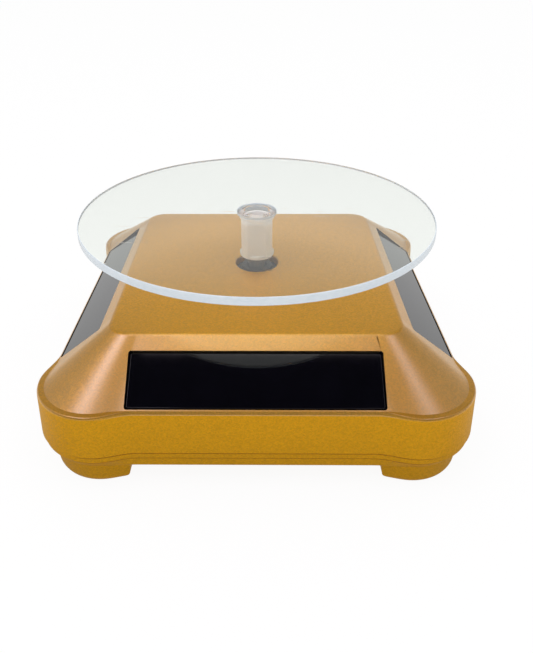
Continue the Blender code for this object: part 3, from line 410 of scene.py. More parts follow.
def shell_inside():
    low_half = WALL_HALF_FOOT - SHELL_WALL
    high_half = WALL_HALF_RIM - SHELL_WALL
    foot_outward, foot_height = slope_point(0.0, SLOPE_WALL)
    knee = foot_height - (high_half - foot_outward) * tan(SLOPE_ANGLE)
    underside = PLATE_HEIGHT - SHELL_WALL
    top_half = foot_outward - (underside - foot_height) / tan(SLOPE_ANGLE)
    rings = [
        base_ring(PARTING - SHELL_WALL, low_half, LOBE_RADIUS_FOOT - SHELL_WALL),
        base_ring(knee - GAP, high_half, LOBE_RADIUS_RIM - SHELL_WALL),
        square_ring(knee, high_half - GAP / 3, SLOPE_BASE_CORNER - SHELL_WALL),
        square_ring(underside, top_half, PLATE_CORNER),
    ]
    return loft("hollow", rings)


def on_slope(point, side):
    """True where a point lies in the outer face of a slope."""
    local = slope_frame(side).inverted() @ point
    return abs(local.z) < GAP / 6


def window_edge(edge):
    """An edge of a window's mouth, where the wall meets the slope's face."""
    if edge.calc_face_angle(0.0) < SHARP_EDGE:
        return False
    ends = [vert.co for vert in edge.verts]
    for side in range(4):
        if all(on_slope(point, side) for point in ends):
            local = slope_frame(side).inverted() @ ((ends[0] + ends[1]) / 2)
            inside_x = abs(local.x) < WINDOW_WIDTH / 2 + NEAR
            inside_y = abs(local.y) < WINDOW_HEIGHT / 2 + NEAR
            return inside_x and inside_y
    return False


def window_depth(point):
    """How far a point on the walls or the floor of a window lies below the slope; 0 elsewhere."""
    reach = LIP_BEVEL + GAP / 3
    for side in range(4):
        local = slope_frame(side).inverted() @ point
        inside = abs(local.x) < WINDOW_WIDTH / 2 + reach and abs(local.y) < WINDOW_HEIGHT / 2 + reach
        if inside and -2 * WINDOW_DEPTH < local.z:
            return max(0.0, -local.z)
    return 0.0


def plate_hole_edge(edge):
    ends = [vert.co for vert in edge.verts]
    near = all(hypot(point.x, point.y) < PLATE_HOLE * 0.6 for point in ends)
    return near and all(abs(point.z - PLATE_HEIGHT) < 0.00001 for point in ends)


CASE_SCREWS = [(x * CASE_SCREW_AT, y * CASE_SCREW_AT) for x, y in CORNERS]
BOSS = SCREW_SHANK + 2 * GAP + 2 * BOSS_WALL


def dress(made, name, look, node, body, angle=28.0):
    """Name a finished piece, give it its look and let it stand for a CAD node."""
    made.name = name
    made.data.name = name
    made.data.materials.clear()
    made.data.materials.append(look)
    smooth(made, angle)
    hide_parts(node)
    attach(made, body)
    return made


def make_shell(paint, recess_shade, lip_highlight):
    shell = shell_outside()
    hollow = shell_inside()
    combine(hollow, [rod(BOSS, 0.0, PLATE_HEIGHT, at) for at in CASE_SCREWS], "DIFFERENCE")
    cutters = [hollow, rod(PLATE_HOLE, PLATE_HEIGHT - 0.003, PLATE_HEIGHT + 0.001, sides=96)]
    for side in range(4):
        for size, bottom in (((WINDOW_WIDTH, WINDOW_HEIGHT), -WINDOW_DEPTH), (PANEL_VENT, -2 * SLOPE_WALL)):
            cutters.append(slope_slab(side, *size, WINDOW_CORNER, bottom, SLOPE_WALL))
    combine(shell, cutters, "DIFFERENCE")
    bosses = [rod(BOSS - 2 * GAP, BOSS_BOTTOM, RIM_HEIGHT * 0.8, at) for at in CASE_SCREWS]
    combine(shell, bosses, "UNION")
    holes = [rod(SCREW_SHANK + 2 * GAP, 0.0, SCREW_HOLE_TOP, at) for at in CASE_SCREWS]
    combine(shell, holes, "DIFFERENCE")
    bevel_where(shell, window_edge, LIP_BEVEL, 3)
    bevel_where(shell, plate_hole_edge, LIP_BEVEL, 3)
    dress(shell, "case_shell", paint, "top_shell", "case")
    shell.data.materials.append(recess_shade)
    shell.data.materials.append(lip_highlight)
    for face in shell.data.polygons:
        depth = window_depth(face.center)
        # Deep in a window's mouth the walls take the black material: painted shade in the recess.
        if depth > LIP_BEVEL * 0.9:
            face.material_index = 1
        # The bevel round the mouth takes the pale metal: a painted highlight on the lip.
        elif depth > GAP / 10:
            face.material_index = 2


def make_panels(look):
    width = WINDOW_WIDTH - 2 * GAP
    height = WINDOW_HEIGHT - 2 * GAP
    bottom = GAP - WINDOW_DEPTH
    for side, name in enumerate(("front", "right", "back", "left")):
        top = bottom + PANEL_THICKNESS
        panel = slope_slab(side, width, height, WINDOW_CORNER - GAP / 2, bottom, top, PANEL_BEVEL)
        place = slope_frame(side)
        panel.data.transform(place @ Matrix.Rotation(-PANEL_LEAN, 4, "X") @ place.inverted())
        dress(panel, "panel_" + name, look, "solar_panel_" + name, "case", 60.0)


# ---------------------------------------------------------------- bottom tray


def tray_outside():
    band_half = TRAY_HALF - TRAY_STEP
    band_radius = TRAY_RADIUS - TRAY_STEP
    band_top = FLOOR_CLEARANCE + TRAY_BAND
    lip_inset = TRAY_HALF - (WALL_HALF_FOOT - SHELL_WALL - GAP)
    top = PARTING - PARTING_GAP / 2
    rings = []
    for turn in arc(4):
        inset = 2 * GAP * (1 - sin(turn))
        height = FLOOR_CLEARANCE + 2 * GAP * (1 - cos(turn))
        rings.append(base_ring(height, band_half - inset, band_radius - TRAY_LOBE_DRAFT - inset))
    rings += [
        base_ring(band_top - TRAY_STEP, band_half, band_radius),
        base_ring(band_top, band_half - TRAY_STEP, band_radius - TRAY_STEP),
        base_ring(band_top + TRAY_STEP / 3, TRAY_HALF, TRAY_RADIUS),
        base_ring(top - GAP / 2, TRAY_HALF, TRAY_RADIUS),
        base_ring(top, TRAY_HALF - GAP / 2, TRAY_RADIUS - GAP / 2),
        base_ring(top + GAP / 10, TRAY_HALF - lip_inset, TRAY_RADIUS - lip_inset),
        base_ring(top + TRAY_LIP, TRAY_HALF - lip_inset - GAP, TRAY_RADIUS - lip_inset - GAP),
    ]
    return loft("tray", rings)


def tray_inside():
    half = WALL_HALF_FOOT - SHELL_WALL - 2 * GAP - TRAY_LIP_WALL
    radius = half + LOBE_RADIUS_FOOT - WALL_HALF_FOOT
    heights = (TRAY_FLOOR_TOP, PARTING + 2 * TRAY_LIP)
    return loft("tray_hollow", [base_ring(height, half, radius) for height in heights])


def foot(signs, offset, bottom, top):
    """One foot, round at its sole, or the hollow in it when offset is its wall."""
    rings = []
    shoulder = TRAY_LOBE_DRAFT + GAP
    span = top - bottom
    heights = [FOOT_ROUND * (1 - cos(turn)) for turn in arc(6)]
    heights += [FOOT_ROUND + (span - FOOT_ROUND) * index / 8 for index in range(1, 9)]
    for height in heights:
        share = height / span
        rounded = max(0.0, 1 - height / FOOT_ROUND)
        inset = FOOT_ROUND * (1 - (1 - rounded**2) ** 0.5)
        draw_in = shoulder + (FOOT_TAPER - shoulder) * (1 - share) + GAP * rounded**2
        inside = FOOT_INSIDE_BOTTOM + (FOOT_INSIDE_TOP - FOOT_INSIDE_BOTTOM) * swell(share) + inset
        half = TRAY_HALF - TRAY_STEP - draw_in - offset
        radius = TRAY_RADIUS - TRAY_STEP - draw_in - offset
        ring = corner_outline(half, radius, inside + offset)
        start = inside + offset
        ring += [(start, start + FOOT_ROUND), (start, start), (start + FOOT_ROUND, start)]
        if signs[0] * signs[1] < 0:
            ring.reverse()
        rings.append([Vector((x * signs[0], y * signs[1], bottom + height)) for x, y in ring])
    return loft("foot", rings)


def make_tray(paint):
    tray = tray_outside()
    combine(tray, [foot(signs, 0.0, 0.0, FLOOR_CLEARANCE + 2 * GAP) for signs in CORNERS], "UNION")
    floor_middle = TRAY_FLOOR_TOP - TRAY_FLOOR / 2
    bay = (0.0, BAY_AT_Y, floor_middle + BAY_HEIGHT / 2)
    wall = 2 * BAY_WALL
    combine(tray, [tray_inside()], "DIFFERENCE")
    combine(tray, [box((BAY_LENGTH + wall, BAY_WIDTH + wall, BAY_HEIGHT + TRAY_FLOOR / 2), bay)], "UNION")
    cutters = [
        box((BAY_LENGTH, BAY_WIDTH, 4 * BAY_HEIGHT), bay),
        box(SWITCH_SLOT, (0.0, SWITCH_AT_Y, FLOOR_CLEARANCE)),
    ]
    for signs, at in zip(CORNERS, CASE_SCREWS):
        pocket = foot(signs, FOOT_WALL, FOOT_WALL, FLOOR_CLEARANCE + 2 * TRAY_FLOOR)
        column = rod(SCREW_HEAD + 2 * GAP + 2 * BOSS_WALL, 0.0, FLOOR_CLEARANCE + BOSS_WALL / 2, at)
        cutters += [
            combine(pocket, [column], "DIFFERENCE"),
            rod(SCREW_HEAD + 2 * GAP, -HEAD_RECESS, HEAD_RECESS, at),
            rod(SCREW_SHANK + 2 * GAP, 0.0, 2 * TRAY_FLOOR_TOP, at),
        ]
    combine(tray, cutters, "DIFFERENCE")
    dress(tray, "case_tray", paint, "bottom_tray", "case")


# ---------------------------------------------------------------- turntable


def make_disc(look, edge_look):
    radius = DISC_HIGH[0]
    hole = DISC_HOLE / 2
    profile = []
    for middle, start in (((radius, DISC_HIGH[2]), 0), ((radius, DISC_LOW[2]), 1)):
        for turn in arc(4):
            angle = pi / 2 - turn if start == 0 else -turn
            x = middle[0] - DISC_EDGE + DISC_EDGE * cos(angle)
            centre_z = middle[1] - DISC_EDGE if start == 0 else middle[1] + DISC_EDGE
            profile.append((x, centre_z + DISC_EDGE * sin(angle)))
    fine = DISC_EDGE / 2
    profile += [
        (hole + fine, DISC_LOW[2]),
        (hole, DISC_LOW[2] + fine),
        (hole, DISC_HIGH[2] - fine),
        (hole + fine, DISC_HIGH[2]),
    ]
    disc = turned("disc", profile, 192, closed=True)
    dress(disc, "platform_disc", look, "turntable_disc", "platform")
    disc.data.materials.append(edge_look)
    # The rim and the hole's wall take the rim material, with its painted glow.
    for face in disc.data.polygons:
        reach = hypot(face.center.x, face.center.y)
        if reach > radius - DISC_EDGE or reach < hole + fine:
            face.material_index = 1


def make_post(look, frosted, milky_and_painted_highlight):
    top = POST_HIGH[2]
    bottom = POST_LOW[2]
    collar = DISC_HOLE / 2 - GAP
    collar_bottom = top - POST_COLLAR_LENGTH
    flange = POST_FLANGE_DIAMETER / 2
    cup = POST_CUP_DIAMETER / 2
    fine = DISC_EDGE
    inside = SPINDLE_DIAMETER / 2 + GAP
    spindle_top = top - POST_CUP_DEPTH
    band_top = collar_bottom + POST_BAND
    head = turned("post", [
        (inside, spindle_top - 3 * GAP),
        (collar * 0.85, collar_bottom),
        (flange - fine, collar_bottom),
        (flange, collar_bottom + fine),
        (flange + (collar - flange) * 0.4, band_top),
        (collar, top - COLLAR_CHAMFER - fine),
        (collar - fine / 3, top - COLLAR_CHAMFER),
        (collar - COLLAR_CHAMFER, top - fine / 3),
        (collar - COLLAR_CHAMFER - fine, top),
        (cup + fine, top),
        (cup, top - fine),
        (cup, spindle_top + GAP),
        (inside, spindle_top + GAP),
    ], 96, closed=True)
    foot_top = bottom + POST_FLANGE_HEIGHT
    sole = turned("sole", [
        (inside, bottom),
        (flange - fine, bottom),
        (flange, bottom + fine),
        (flange, foot_top - fine),
        (flange - fine, foot_top),
        (inside, foot_top),
    ], 96, closed=True)
    half = POST_BODY_WIDTH / 2
    flat = half - POST_BODY_CHAMFER
    outline = []
    for quarter in range(4):
        turn = Matrix.Rotation(quarter * pi / 2, 2)
        radius = hypot(half, flat)
        low = atan(flat / half)
        outline += [turn @ Vector((half, -flat)), turn @ Vector((half, flat))]
        for step in (1, 2, 3):
            angle = low + (pi / 2 - 2 * low) * step / 4
            outline.append(turn @ Vector((cos(angle), sin(angle))) * radius)
    heights = (bottom + GAP, collar_bottom - POST_BAND / 2, collar_bottom + GAP)
    body = loft("body", [[(x, y, z) for x, y in outline] for z in heights])
    combine(body, [rod(2 * inside, 0.0, top, sides=96)], "DIFFERENCE")
    combine(head, [sole, body], "UNION")
    dress(head, "platform_post", look, "drive_post", "platform", 25.0)
    head.data.materials.append(frosted)
    head.data.materials.append(milky_and_painted_highlight)
    for face in head.data.polygons:
        reach = hypot(face.center.x, face.center.y)
        if face.center.z < collar_bottom - POST_BAND / 2:
            face.material_index = 1
        # The band under the collar takes the whiter, less clear material: a painted highlight on the post's
        # shoulder.
        elif face.center.z < band_top and reach > cup:
            face.material_index = 2


# ---------------------------------------------------------------- looks


class Look:
    """A node material around one Principled shader."""

    def __init__(self, name, **values):
        self.material = bpy.data.materials.new(name)
        self.material.use_nodes = True
        self.tree = self.material.node_tree
        self.shader = self.tree.nodes["Principled BSDF"]
        self.output = self.tree.nodes["Material Output"]
        self.place = self.add("ShaderNodeTexCoord").outputs["Object"]
        self.set(self.shader, **values)

    def add(self, kind, **settings):
        node = self.tree.nodes.new(kind)
        for key, value in settings.items():
            setattr(node, key, value)
        return node

    def set(self, node, **values):
        """Set sockets by name, underscores for spaces; a socket as value is linked."""
        for key, value in values.items():
            self.feed(node.inputs[key.replace("_", " ")], value)

    def feed(self, socket, value):
        if isinstance(value, bpy.types.NodeSocket):
            self.tree.links.new(value, socket)
        elif socket.type == "RGBA" and len(value) == 3:
            socket.default_value = (*value, 1.0)
        else:
            socket.default_value = value

    def stretch(self, scale):
        node = self.add("ShaderNodeMapping")
        self.set(node, Vector=self.place, Scale=scale)
        return node.outputs["Vector"]

    def noise(self, size, detail=3.0, vector=None):
        """Soft noise whose features are about size metres across."""
        node = self.add("ShaderNodeTexNoise")
        self.set(node, Vector=vector or self.place, Scale=1.0 / size, Detail=detail)
        return node.outputs["Fac"]

    def cells(self, size, output="Color"):
        """Small cells of about size metres, each with a colour of its own."""
        node = self.add("ShaderNodeTexVoronoi")
        self.set(node, Vector=self.place, Scale=1.0 / size)
        return node.outputs[output]

    def ramp(self, value, low, high, from_low=0.0, from_high=1.0):
        """A number spread between low and high."""
        node = self.add("ShaderNodeMapRange")
        self.set(node, Value=value, From_Min=from_low, From_Max=from_high, To_Min=low, To_Max=high)
        return node.outputs["Result"]

    def blend(self, value, first, second):
        """A colour between two colours."""
        node = self.add("ShaderNodeMix", data_type="RGBA")
        self.feed(node.inputs[0], value)
        self.feed(node.inputs[6], first)
        self.feed(node.inputs[7], second)
        return node.outputs[2]

    def math(self, operation, first, second=0.0):
        node = self.add("ShaderNodeMath", operation=operation)
        self.feed(node.inputs[0], first)
        self.feed(node.inputs[1], second)
        return node.outputs[0]

    def bump(self, height, distance, strength=1.0, normal=None):
        node = self.add("ShaderNodeBump")
        self.set(node, Height=height, Distance=distance, Strength=strength)
        if normal is not None:
            self.set(node, Normal=normal)
        return node.outputs["Normal"]

    def tilt(self, colour, amount, normal):
        """A normal leaned a little by a colour, as metal flakes lean in a lacquer."""
        lean = self.add("ShaderNodeVectorMath", operation="SUBTRACT")
        self.feed(lean.inputs[0], colour)
        lean.inputs[1].default_value = (0.5, 0.5, 0.5)
        scaled = self.add("ShaderNodeVectorMath", operation="SCALE")
        self.feed(scaled.inputs[0], lean.outputs[0])
        scaled.inputs["Scale"].default_value = amount
        total = self.add("ShaderNodeVectorMath", operation="ADD")
        self.feed(total.inputs[0], normal)
        self.feed(total.inputs[1], scaled.outputs[0])
        unit = self.add("ShaderNodeVectorMath", operation="NORMALIZE")
        self.feed(unit.inputs[0], total.outputs[0])
        return unit.outputs[0]


def gold_lacquer():
    """Satin gold paint with metal flakes, under a clear coat."""
    look = Look("gold_lacquer", Metallic=0.96, Coat_Roughness=0.31, Coat_IOR=2.4)
    flakes = look.cells(0.0003)
    grain = look.noise(0.0006, 4.0)
    drift = look.noise(0.02, 2.0)
    spark = look.add("ShaderNodeSeparateColor")
    look.feed(spark.inputs[0], flakes)
    shade = look.math("ADD", look.math("MULTIPLY", spark.outputs[0], 0.6), look.math("MULTIPLY", grain, 0.4))
    colour = look.blend(shade, (0.68, 0.345, 0.001), (1.0, 0.510, 0.003))
    colour = look.blend(look.ramp(drift, 0.0, 0.3), colour, (0.90, 0.450, 0.002))
    rough = look.math("ADD", look.ramp(grain, 0.50, 0.58), look.ramp(spark.outputs[1], -0.03, 0.03))
    orange_peel = look.bump(look.noise(0.0009, 2.0), 0.00001, 0.5)
    normal = look.tilt(flakes, 0.19, orange_peel)
    facing = look.add("ShaderNodeSeparateXYZ")
    look.feed(facing.inputs[0], look.add("ShaderNodeNewGeometry").outputs["True Normal"])
    # The clear coat lies thickest on the slopes, where the spray met them square on
    lacquer = look.ramp(facing.outputs[2], 0.08, 1.0, 0.15, 0.60)
    lacquer = look.math("SUBTRACT", lacquer, look.ramp(facing.outputs[2], 0.0, 0.50, 0.84, 1.0))
    look.set(look.shader, Base_Color=colour, Roughness=rough, Normal=normal)
    look.set(look.shader, Coat_Weight=lacquer, Coat_Normal=orange_peel)
    return look.material


def solar_glass():
    """Black silicon under glass: nearly black, with a faint grain."""
    look = Look("solar_glass", IOR=1.5)
    cell = look.noise(0.004, 2.0, look.stretch((1.0, 0.25, 1.0)))
    speck = look.cells(0.0006, "Distance")
    colour = look.blend(cell, (0.0008, 0.0008, 0.0016), (0.0018, 0.0016, 0.0034))
    rough = look.math("ADD", look.ramp(look.noise(0.003), 0.03, 0.06), look.ramp(speck, 0.0, 0.01))
    normal = look.bump(look.noise(0.006, 1.0), 0.00002, 0.15)
    look.set(look.shader, Base_Color=colour, Roughness=rough, Normal=normal)
    return look.material


def clear_acrylic(name, tint, rough, scratches, index=1.49, transmission=1.0):
    """Clear plastic with fine scratches, which casts a pale shadow."""
    look = Look(name, IOR=index, Transmission_Weight=transmission)
    haze = look.noise(0.006, 3.0)
    colour = look.blend(haze, tint, [min(1.0, value * 1.004) for value in tint])
    lines = look.noise(0.0012, 2.0, look.stretch((0.12, 1.6, 1.0)))
    marks = look.ramp(lines, 0.0, scratches, 0.68, 0.78)
    normal = look.bump(marks, 0.00002, 0.4)
    look.set(look.shader, Base_Color=colour, Roughness=look.ramp(haze, rough, rough * 1.8), Normal=normal)
    path = look.add("ShaderNodeLightPath")
    clear = look.add("ShaderNodeBsdfTransparent")
    look.set(clear, Color=tint)
    mixed = look.add("ShaderNodeMixShader")
    look.feed(mixed.inputs[0], path.outputs["Is Shadow Ray"])
    look.feed(mixed.inputs[1], look.shader.outputs[0])
    look.feed(mixed.inputs[2], clear.outputs[0])
    look.feed(look.output.inputs["Surface"], mixed.outputs[0])
    return look.material


def acrylic_edge():
    """The sawn and flame-polished rim, with streaks from the saw. Its pale blue colour is a painted glow,
    standing in for the light the rim gathers and the room it refracts.
    """
    look = Look("acrylic_rim", IOR=1.49, Transmission_Weight=0.25, Coat_Weight=0.3, Coat_Roughness=0.1)
    streaks = look.noise(0.0012, 3.0, look.stretch((1.0, 1.0, 5.0)))
    look.set(
        look.shader,
        Base_Color=look.blend(streaks, (0.66, 0.79, 0.86), (0.92, 0.97, 1.0)),
        Roughness=look.ramp(streaks, 0.15, 0.3),
        Normal=look.bump(streaks, 0.00004, 0.3),
    )
    return look.material


def frosted_acrylic(name, transmission, dark, light):
    """The post's body, etched by its mould: it lets light through but no picture."""
    look = Look(name, IOR=1.3, Transmission_Weight=transmission)
    cloud = look.noise(0.0015, 3.0)
    look.set(
        look.shader,
        Base_Color=look.blend(cloud, dark, light),
        Roughness=look.ramp(cloud, 0.35, 0.5),
        Normal=look.bump(look.noise(0.0003), 0.00001, 0.4),
    )
    return look.material


def spindle_plastic():
    """Pale acetal, dark at its lower end, where it leaves the bush."""
    look = Look("spindle_acetal")
    axes = look.add("ShaderNodeSeparateXYZ")
    look.feed(axes.inputs[0], look.place)
    mottle = look.noise(0.002, 3.0)
    pale = look.blend(mottle, (0.66, 0.62, 0.55), (0.72, 0.68, 0.60))
    dark = look.blend(mottle, (0.10, 0.097, 0.088), (0.13, 0.126, 0.115))
    height = look.ramp(axes.outputs[2], 0.0, 1.0, SPINDLE_DARK, SPINDLE_PALE)
    look.set(
        look.shader,
        Base_Color=look.blend(height, dark, pale),
        Roughness=look.ramp(mottle, 0.4, 0.55),
        Normal=look.bump(look.noise(0.0004), 0.00001, 0.4),
    )
    return look.material


def moulded(name, colour, rough=0.42, fleck=0.04, **values):
    """Moulded plastic: slight mottle, fine texture and faint sink marks."""
    look = Look(name, **values)
    mottle = look.noise(0.004, 4.0)
    dark = [value * (1 - fleck) for value in colour]
    light = [min(1.0, value * (1 + fleck)) for value in colour]
    texture = look.bump(look.noise(0.0004, 3.0), 0.000012, 0.5)
    texture = look.bump(look.noise(0.008, 1.0), 0.00008, 0.3, texture)
    look.set(
        look.shader,
        Base_Color=look.blend(mottle, dark, light),
        Roughness=look.ramp(mottle, rough * 0.9, rough * 1.12),
        Normal=texture,
    )
    return look.material


def metal(name, colour, rough, direction):
    """Drawn or turned metal: fine lines along one direction and a little tarnish."""
    look = Look(name, Metallic=1.0)
    lines = look.noise(0.0002, 3.0, look.stretch(direction))
    tarnish = look.noise(0.003, 3.0)
    dull = [value * 0.8 for value in colour]
    wear = look.ramp(tarnish, -0.04, 0.06)
    look.set(
        look.shader,
        Base_Color=look.blend(look.ramp(tarnish, 0.0, 1.0, 0.35, 0.7), colour, dull),
        Roughness=look.math("ADD", look.ramp(lines, rough * 0.8, rough * 1.2), wear),
        Normal=look.bump(lines, 0.000008, 0.6),
    )
    return look.material


def board_mask():
    """Green solder mask over faint copper tracks."""
    look = Look("solder_mask", Coat_Weight=0.5, Coat_Roughness=0.15)
    brick = look.add("ShaderNodeTexBrick")
    look.set(brick, Vector=look.place, Scale=500.0, Mortar_Size=0.03)
    look.set(brick, Color1=(0, 0, 0), Color2=(0, 0, 0), Mortar=(1, 1, 1))
    patches = look.ramp(look.noise(0.005, 1.0), 0.0, 1.0, 0.45, 0.55)
    tracks = look.math("MULTIPLY", brick.outputs["Fac"], patches)
    look.set(
        look.shader,
        Base_Color=look.blend(tracks, (0.012, 0.12, 0.045), (0.03, 0.22, 0.08)),
        Roughness=look.ramp(look.noise(0.002), 0.35, 0.5),
        Normal=look.bump(tracks, 0.00003, 0.6),
    )
    return look.material


def cell_sleeve():
    """Shrink sleeve: two plain bands of colour along the cell and soft wrinkles."""
    look = Look("shrink_sleeve", Coat_Weight=0.4, Coat_Roughness=0.12)
    axes = look.add("ShaderNodeSeparateXYZ")
    look.feed(axes.inputs[0], look.place)
    band = look.math("GREATER_THAN", axes.outputs[0], 0.012)
    wrinkles = look.noise(0.002, 2.0, look.stretch((0.2, 1.0, 1.0)))
    mottle = look.blend(look.noise(0.003), (0.035, 0.09, 0.20), (0.05, 0.12, 0.26))
    look.set(
        look.shader,
        Base_Color=look.blend(band, mottle, (0.50, 0.52, 0.54)),
        Roughness=look.ramp(wrinkles, 0.25, 0.42),
        Normal=look.bump(wrinkles, 0.00006, 0.4),
    )
    return look.material


def rubber(name, colour):
    """Soft insulation with a faint ripple."""
    look = Look(name)
    ripple = look.noise(0.0012, 3.0)
    dark = [value * 0.8 for value in colour]
    look.set(
        look.shader,
        Base_Color=look.blend(ripple, dark, colour),
        Roughness=look.ramp(ripple, 0.4, 0.6),
        Normal=look.bump(ripple, 0.00003, 0.4),
    )
    return look.material


NODE_LOOKS = {
    "spindle": ("drive_spindle",),
    "white": ("output_gear", "first_gear", "motor_end_cap", "switch_knob"),
    "grey": ("second_gear", "gearbox_base", "gearbox_cover"),
    "black": ("spindle_bush", "switch_body"),
    "steel": (
        "first_gear_pin", "second_gear_pin", "motor_shaft", "battery_spring",
        "case_screw_1", "case_screw_2", "case_screw_3", "case_screw_4",
        "gearbox_screw_1", "gearbox_screw_2", "gearbox_screw_3",
    ),
    "can": ("motor_can",),
    "brass": ("motor_pinion", "battery_contact_negative", "battery_contact_positive"),
    "board": ("circuit_board",),
    "sleeve": ("battery_cell", "storage_capacitor"),
    "red": ("battery_lead_red", "motor_lead_red"),
    "dark": ("battery_lead_black", "motor_lead_black"),
}


def dress_cad_nodes(gold):
    """Give each CAD node that shows as it is a look of its own."""
    milky_and_painted_highlight = {"Subsurface_Weight": 0.15, "Subsurface_Scale": 0.001}
    looks = {
        "spindle": spindle_plastic(),
        "white": moulded("white_acetal", (0.80, 0.80, 0.77), 0.38, **milky_and_painted_highlight),
        "grey": moulded("grey_nylon", (0.24, 0.25, 0.26), 0.5),
        "black": moulded("black_nylon", (0.075, 0.070, 0.062), 0.5),
        "steel": metal("zinc_steel", (0.58, 0.58, 0.60), 0.30, (1.0, 1.0, 6.0)),
        "can": metal("motor_steel", (0.52, 0.53, 0.55), 0.28, (1.0, 1.0, 8.0)),
        "brass": metal("turned_brass", (0.62, 0.44, 0.15), 0.28, (1.0, 1.0, 6.0)),
        "board": board_mask(),
        "sleeve": cell_sleeve(),
        "red": rubber("red_insulation", (0.42, 0.015, 0.012)),
        "dark": rubber("black_insulation", (0.018, 0.018, 0.018)),
    }
    for key, names in NODE_LOOKS.items():
        for name in names:
            for slot in NODES[name].material_slots:
                slot.material = looks[key]
    for slot in NODES["battery_door"].material_slots:
        slot.material = gold


# ---------------------------------------------------------------- floor and light

WHITE = (1.0, 1.0, 1.0, 1.0)
PLAIN = (1.0, 1.0, 1.0)
PINK = (1.0, 0.88, 0.98)  # tint of the lamps that show in the clear coat
LAMP_DISTANCE = 1.2
LAMPS = (  # name, direction from the middle, size, watts, tint
    ("strip_left", (-0.34, -0.43, 0.84), (0.56, 0.12), 0.90, PINK),
    ("strip_right", (0.34, -0.43, 0.84), (0.52, 0.12), 0.50, PINK),
    ("over_left", (-0.41, -0.12, 0.90), (0.48, 0.34), 1.75, PINK),
    ("over_right", (0.41, -0.12, 0.90), (0.48, 0.34), 0.95, PINK),
    ("side_left", (-0.74, 0.10, 0.67), (0.40, 0.40), 0.20, PLAIN),
    ("side_right", (0.74, 0.10, 0.67), (0.40, 0.40), 0.16, PLAIN),
    ("strip_top", (0.0, -0.262, 0.965), (0.50, 0.07), 0.08, PINK),
)

AMBIENT = 1.0  # the world, for plain shading
FRONT_DIM = 0.15  # the room behind the camera, as the object mirrors it
FRONT_REACH = (-0.5, 0.0)  # Y of the directions between which it brightens
WING_DIM = 0.42  # the room to both sides, as the object mirrors it
WING_REACH = (0.28, 0.50)  # X of the directions between which it darkens
UNDER_DISC = 0.26  # what the case mirrors through the disc, between its white bands
# Greys by the Z of a direction: as mirrored, and the share of white seen through the disc
MIRRORED_SKY = (
    (0.0, 0.85), (0.25, 0.92), (0.46, 0.95), (0.60, 0.25), (0.80, 0.09), (0.87, 0.03), (1.0, 0.02),
)
WHITE_THROUGH_DISC = ((0.0, 1.0), (0.06, 1.0), (0.20, 0.0), (0.80, 0.0), (0.92, 0.6), (1.0, 0.6))

FLOOR_WHITE = 0.92  # share of plain white in the floor that the camera sees
FLOOR_NEAR_PAINTED_SHADOW = 0.40  # brightness of the floor as the object mirrors it, close to the case: a painted shadow of the case
FLOOR_FRONT = 0.62  # a little further out; it is 1 at the far end of FAR_REACH
NEAR_REACH = (0.050, 0.066)  # distances from the axis, in metres
FAR_REACH = (0.085, 0.130)


def backdrop():
    """A pale floor: white to the camera; as the object mirrors it, greyer close by, a painted shadow of the
    case.
    """
    look = Look("studio_floor", Roughness=0.6)
    mottle = look.blend(look.noise(0.3, 2.0), (0.87, 0.87, 0.87), (0.90, 0.90, 0.90))
    look.set(look.shader, Base_Color=mottle)
    path = look.add("ShaderNodeLightPath")
    white = look.add("ShaderNodeEmission")
    mixed = look.add("ShaderNodeMixShader")
    seen = look.math("MAXIMUM", path.outputs["Is Camera Ray"], path.outputs["Is Transmission Ray"])
    look.feed(mixed.inputs[0], look.math("MULTIPLY", seen, FLOOR_WHITE))
    look.feed(mixed.inputs[1], look.shader.outputs[0])
    look.feed(mixed.inputs[2], white.outputs[0])
    # As the object mirrors it the floor glows, darker towards the case: a painted shadow.
    mirrored = look.add("ShaderNodeEmission")
    axes = look.add("ShaderNodeSeparateXYZ")
    look.feed(axes.inputs[0], look.place)
    distance = look.math("MAXIMUM", *(look.math("ABSOLUTE", axes.outputs[axis]) for axis in (0, 1)))
    near = look.ramp(distance, FLOOR_NEAR_PAINTED_SHADOW, FLOOR_FRONT, *NEAR_REACH)
    far = look.ramp(distance, 0.0, 1.0 - FLOOR_FRONT, *FAR_REACH)
    look.feed(mirrored.inputs["Strength"], look.math("ADD", near, far))
    final = look.add("ShaderNodeMixShader")
    through = look.math("SUBTRACT", 1.0, path.outputs["Is Transmission Ray"])
    look.feed(final.inputs[0], look.math("MULTIPLY", path.outputs["Is Glossy Ray"], through))
    look.feed(final.inputs[1], mixed.outputs[0])
    look.feed(final.inputs[2], mirrored.outputs[0])
    look.feed(look.output.inputs["Surface"], final.outputs[0])
    shape = bmesh.new()
    bmesh.ops.create_grid(shape, x_segments=2, y_segments=2, size=3.0)
    floor = mesh_object("floor", shape, recalculate=False)
    floor.data.materials.append(look.material)


def add_light(name, direction, size, power, colour):
    """A soft lamp that faces the middle from LAMP_DISTANCE away."""
    data = bpy.data.lights.new(name, "AREA")
    data.shape = "RECTANGLE"
    data.size, data.size_y = size
    data.energy = power
    data.color = colour
    lamp = link(bpy.data.objects.new(name, data))
    towards = Vector(direction).normalized()
    lamp.location = towards * LAMP_DISTANCE
    lamp.rotation_euler = towards.to_track_quat("Z", "Y").to_euler()


def feed_numbers(node, names, values):
    for name, value in zip(names, values):
        node.inputs[name].default_value = value


def grey_ramp(tree, value, stops):
    """Greys along a value, from (position, grey) stops."""
    node = tree.nodes.new("ShaderNodeValToRGB")
    tree.links.new(value, node.inputs[0])
    line = node.color_ramp
    while len(line.elements) < len(stops):
        line.elements.new(0.5)
    for element, (at, grey) in zip(line.elements, stops):
        element.position = at
        element.color = (grey, grey, grey, 1.0)
    return node.outputs[0]


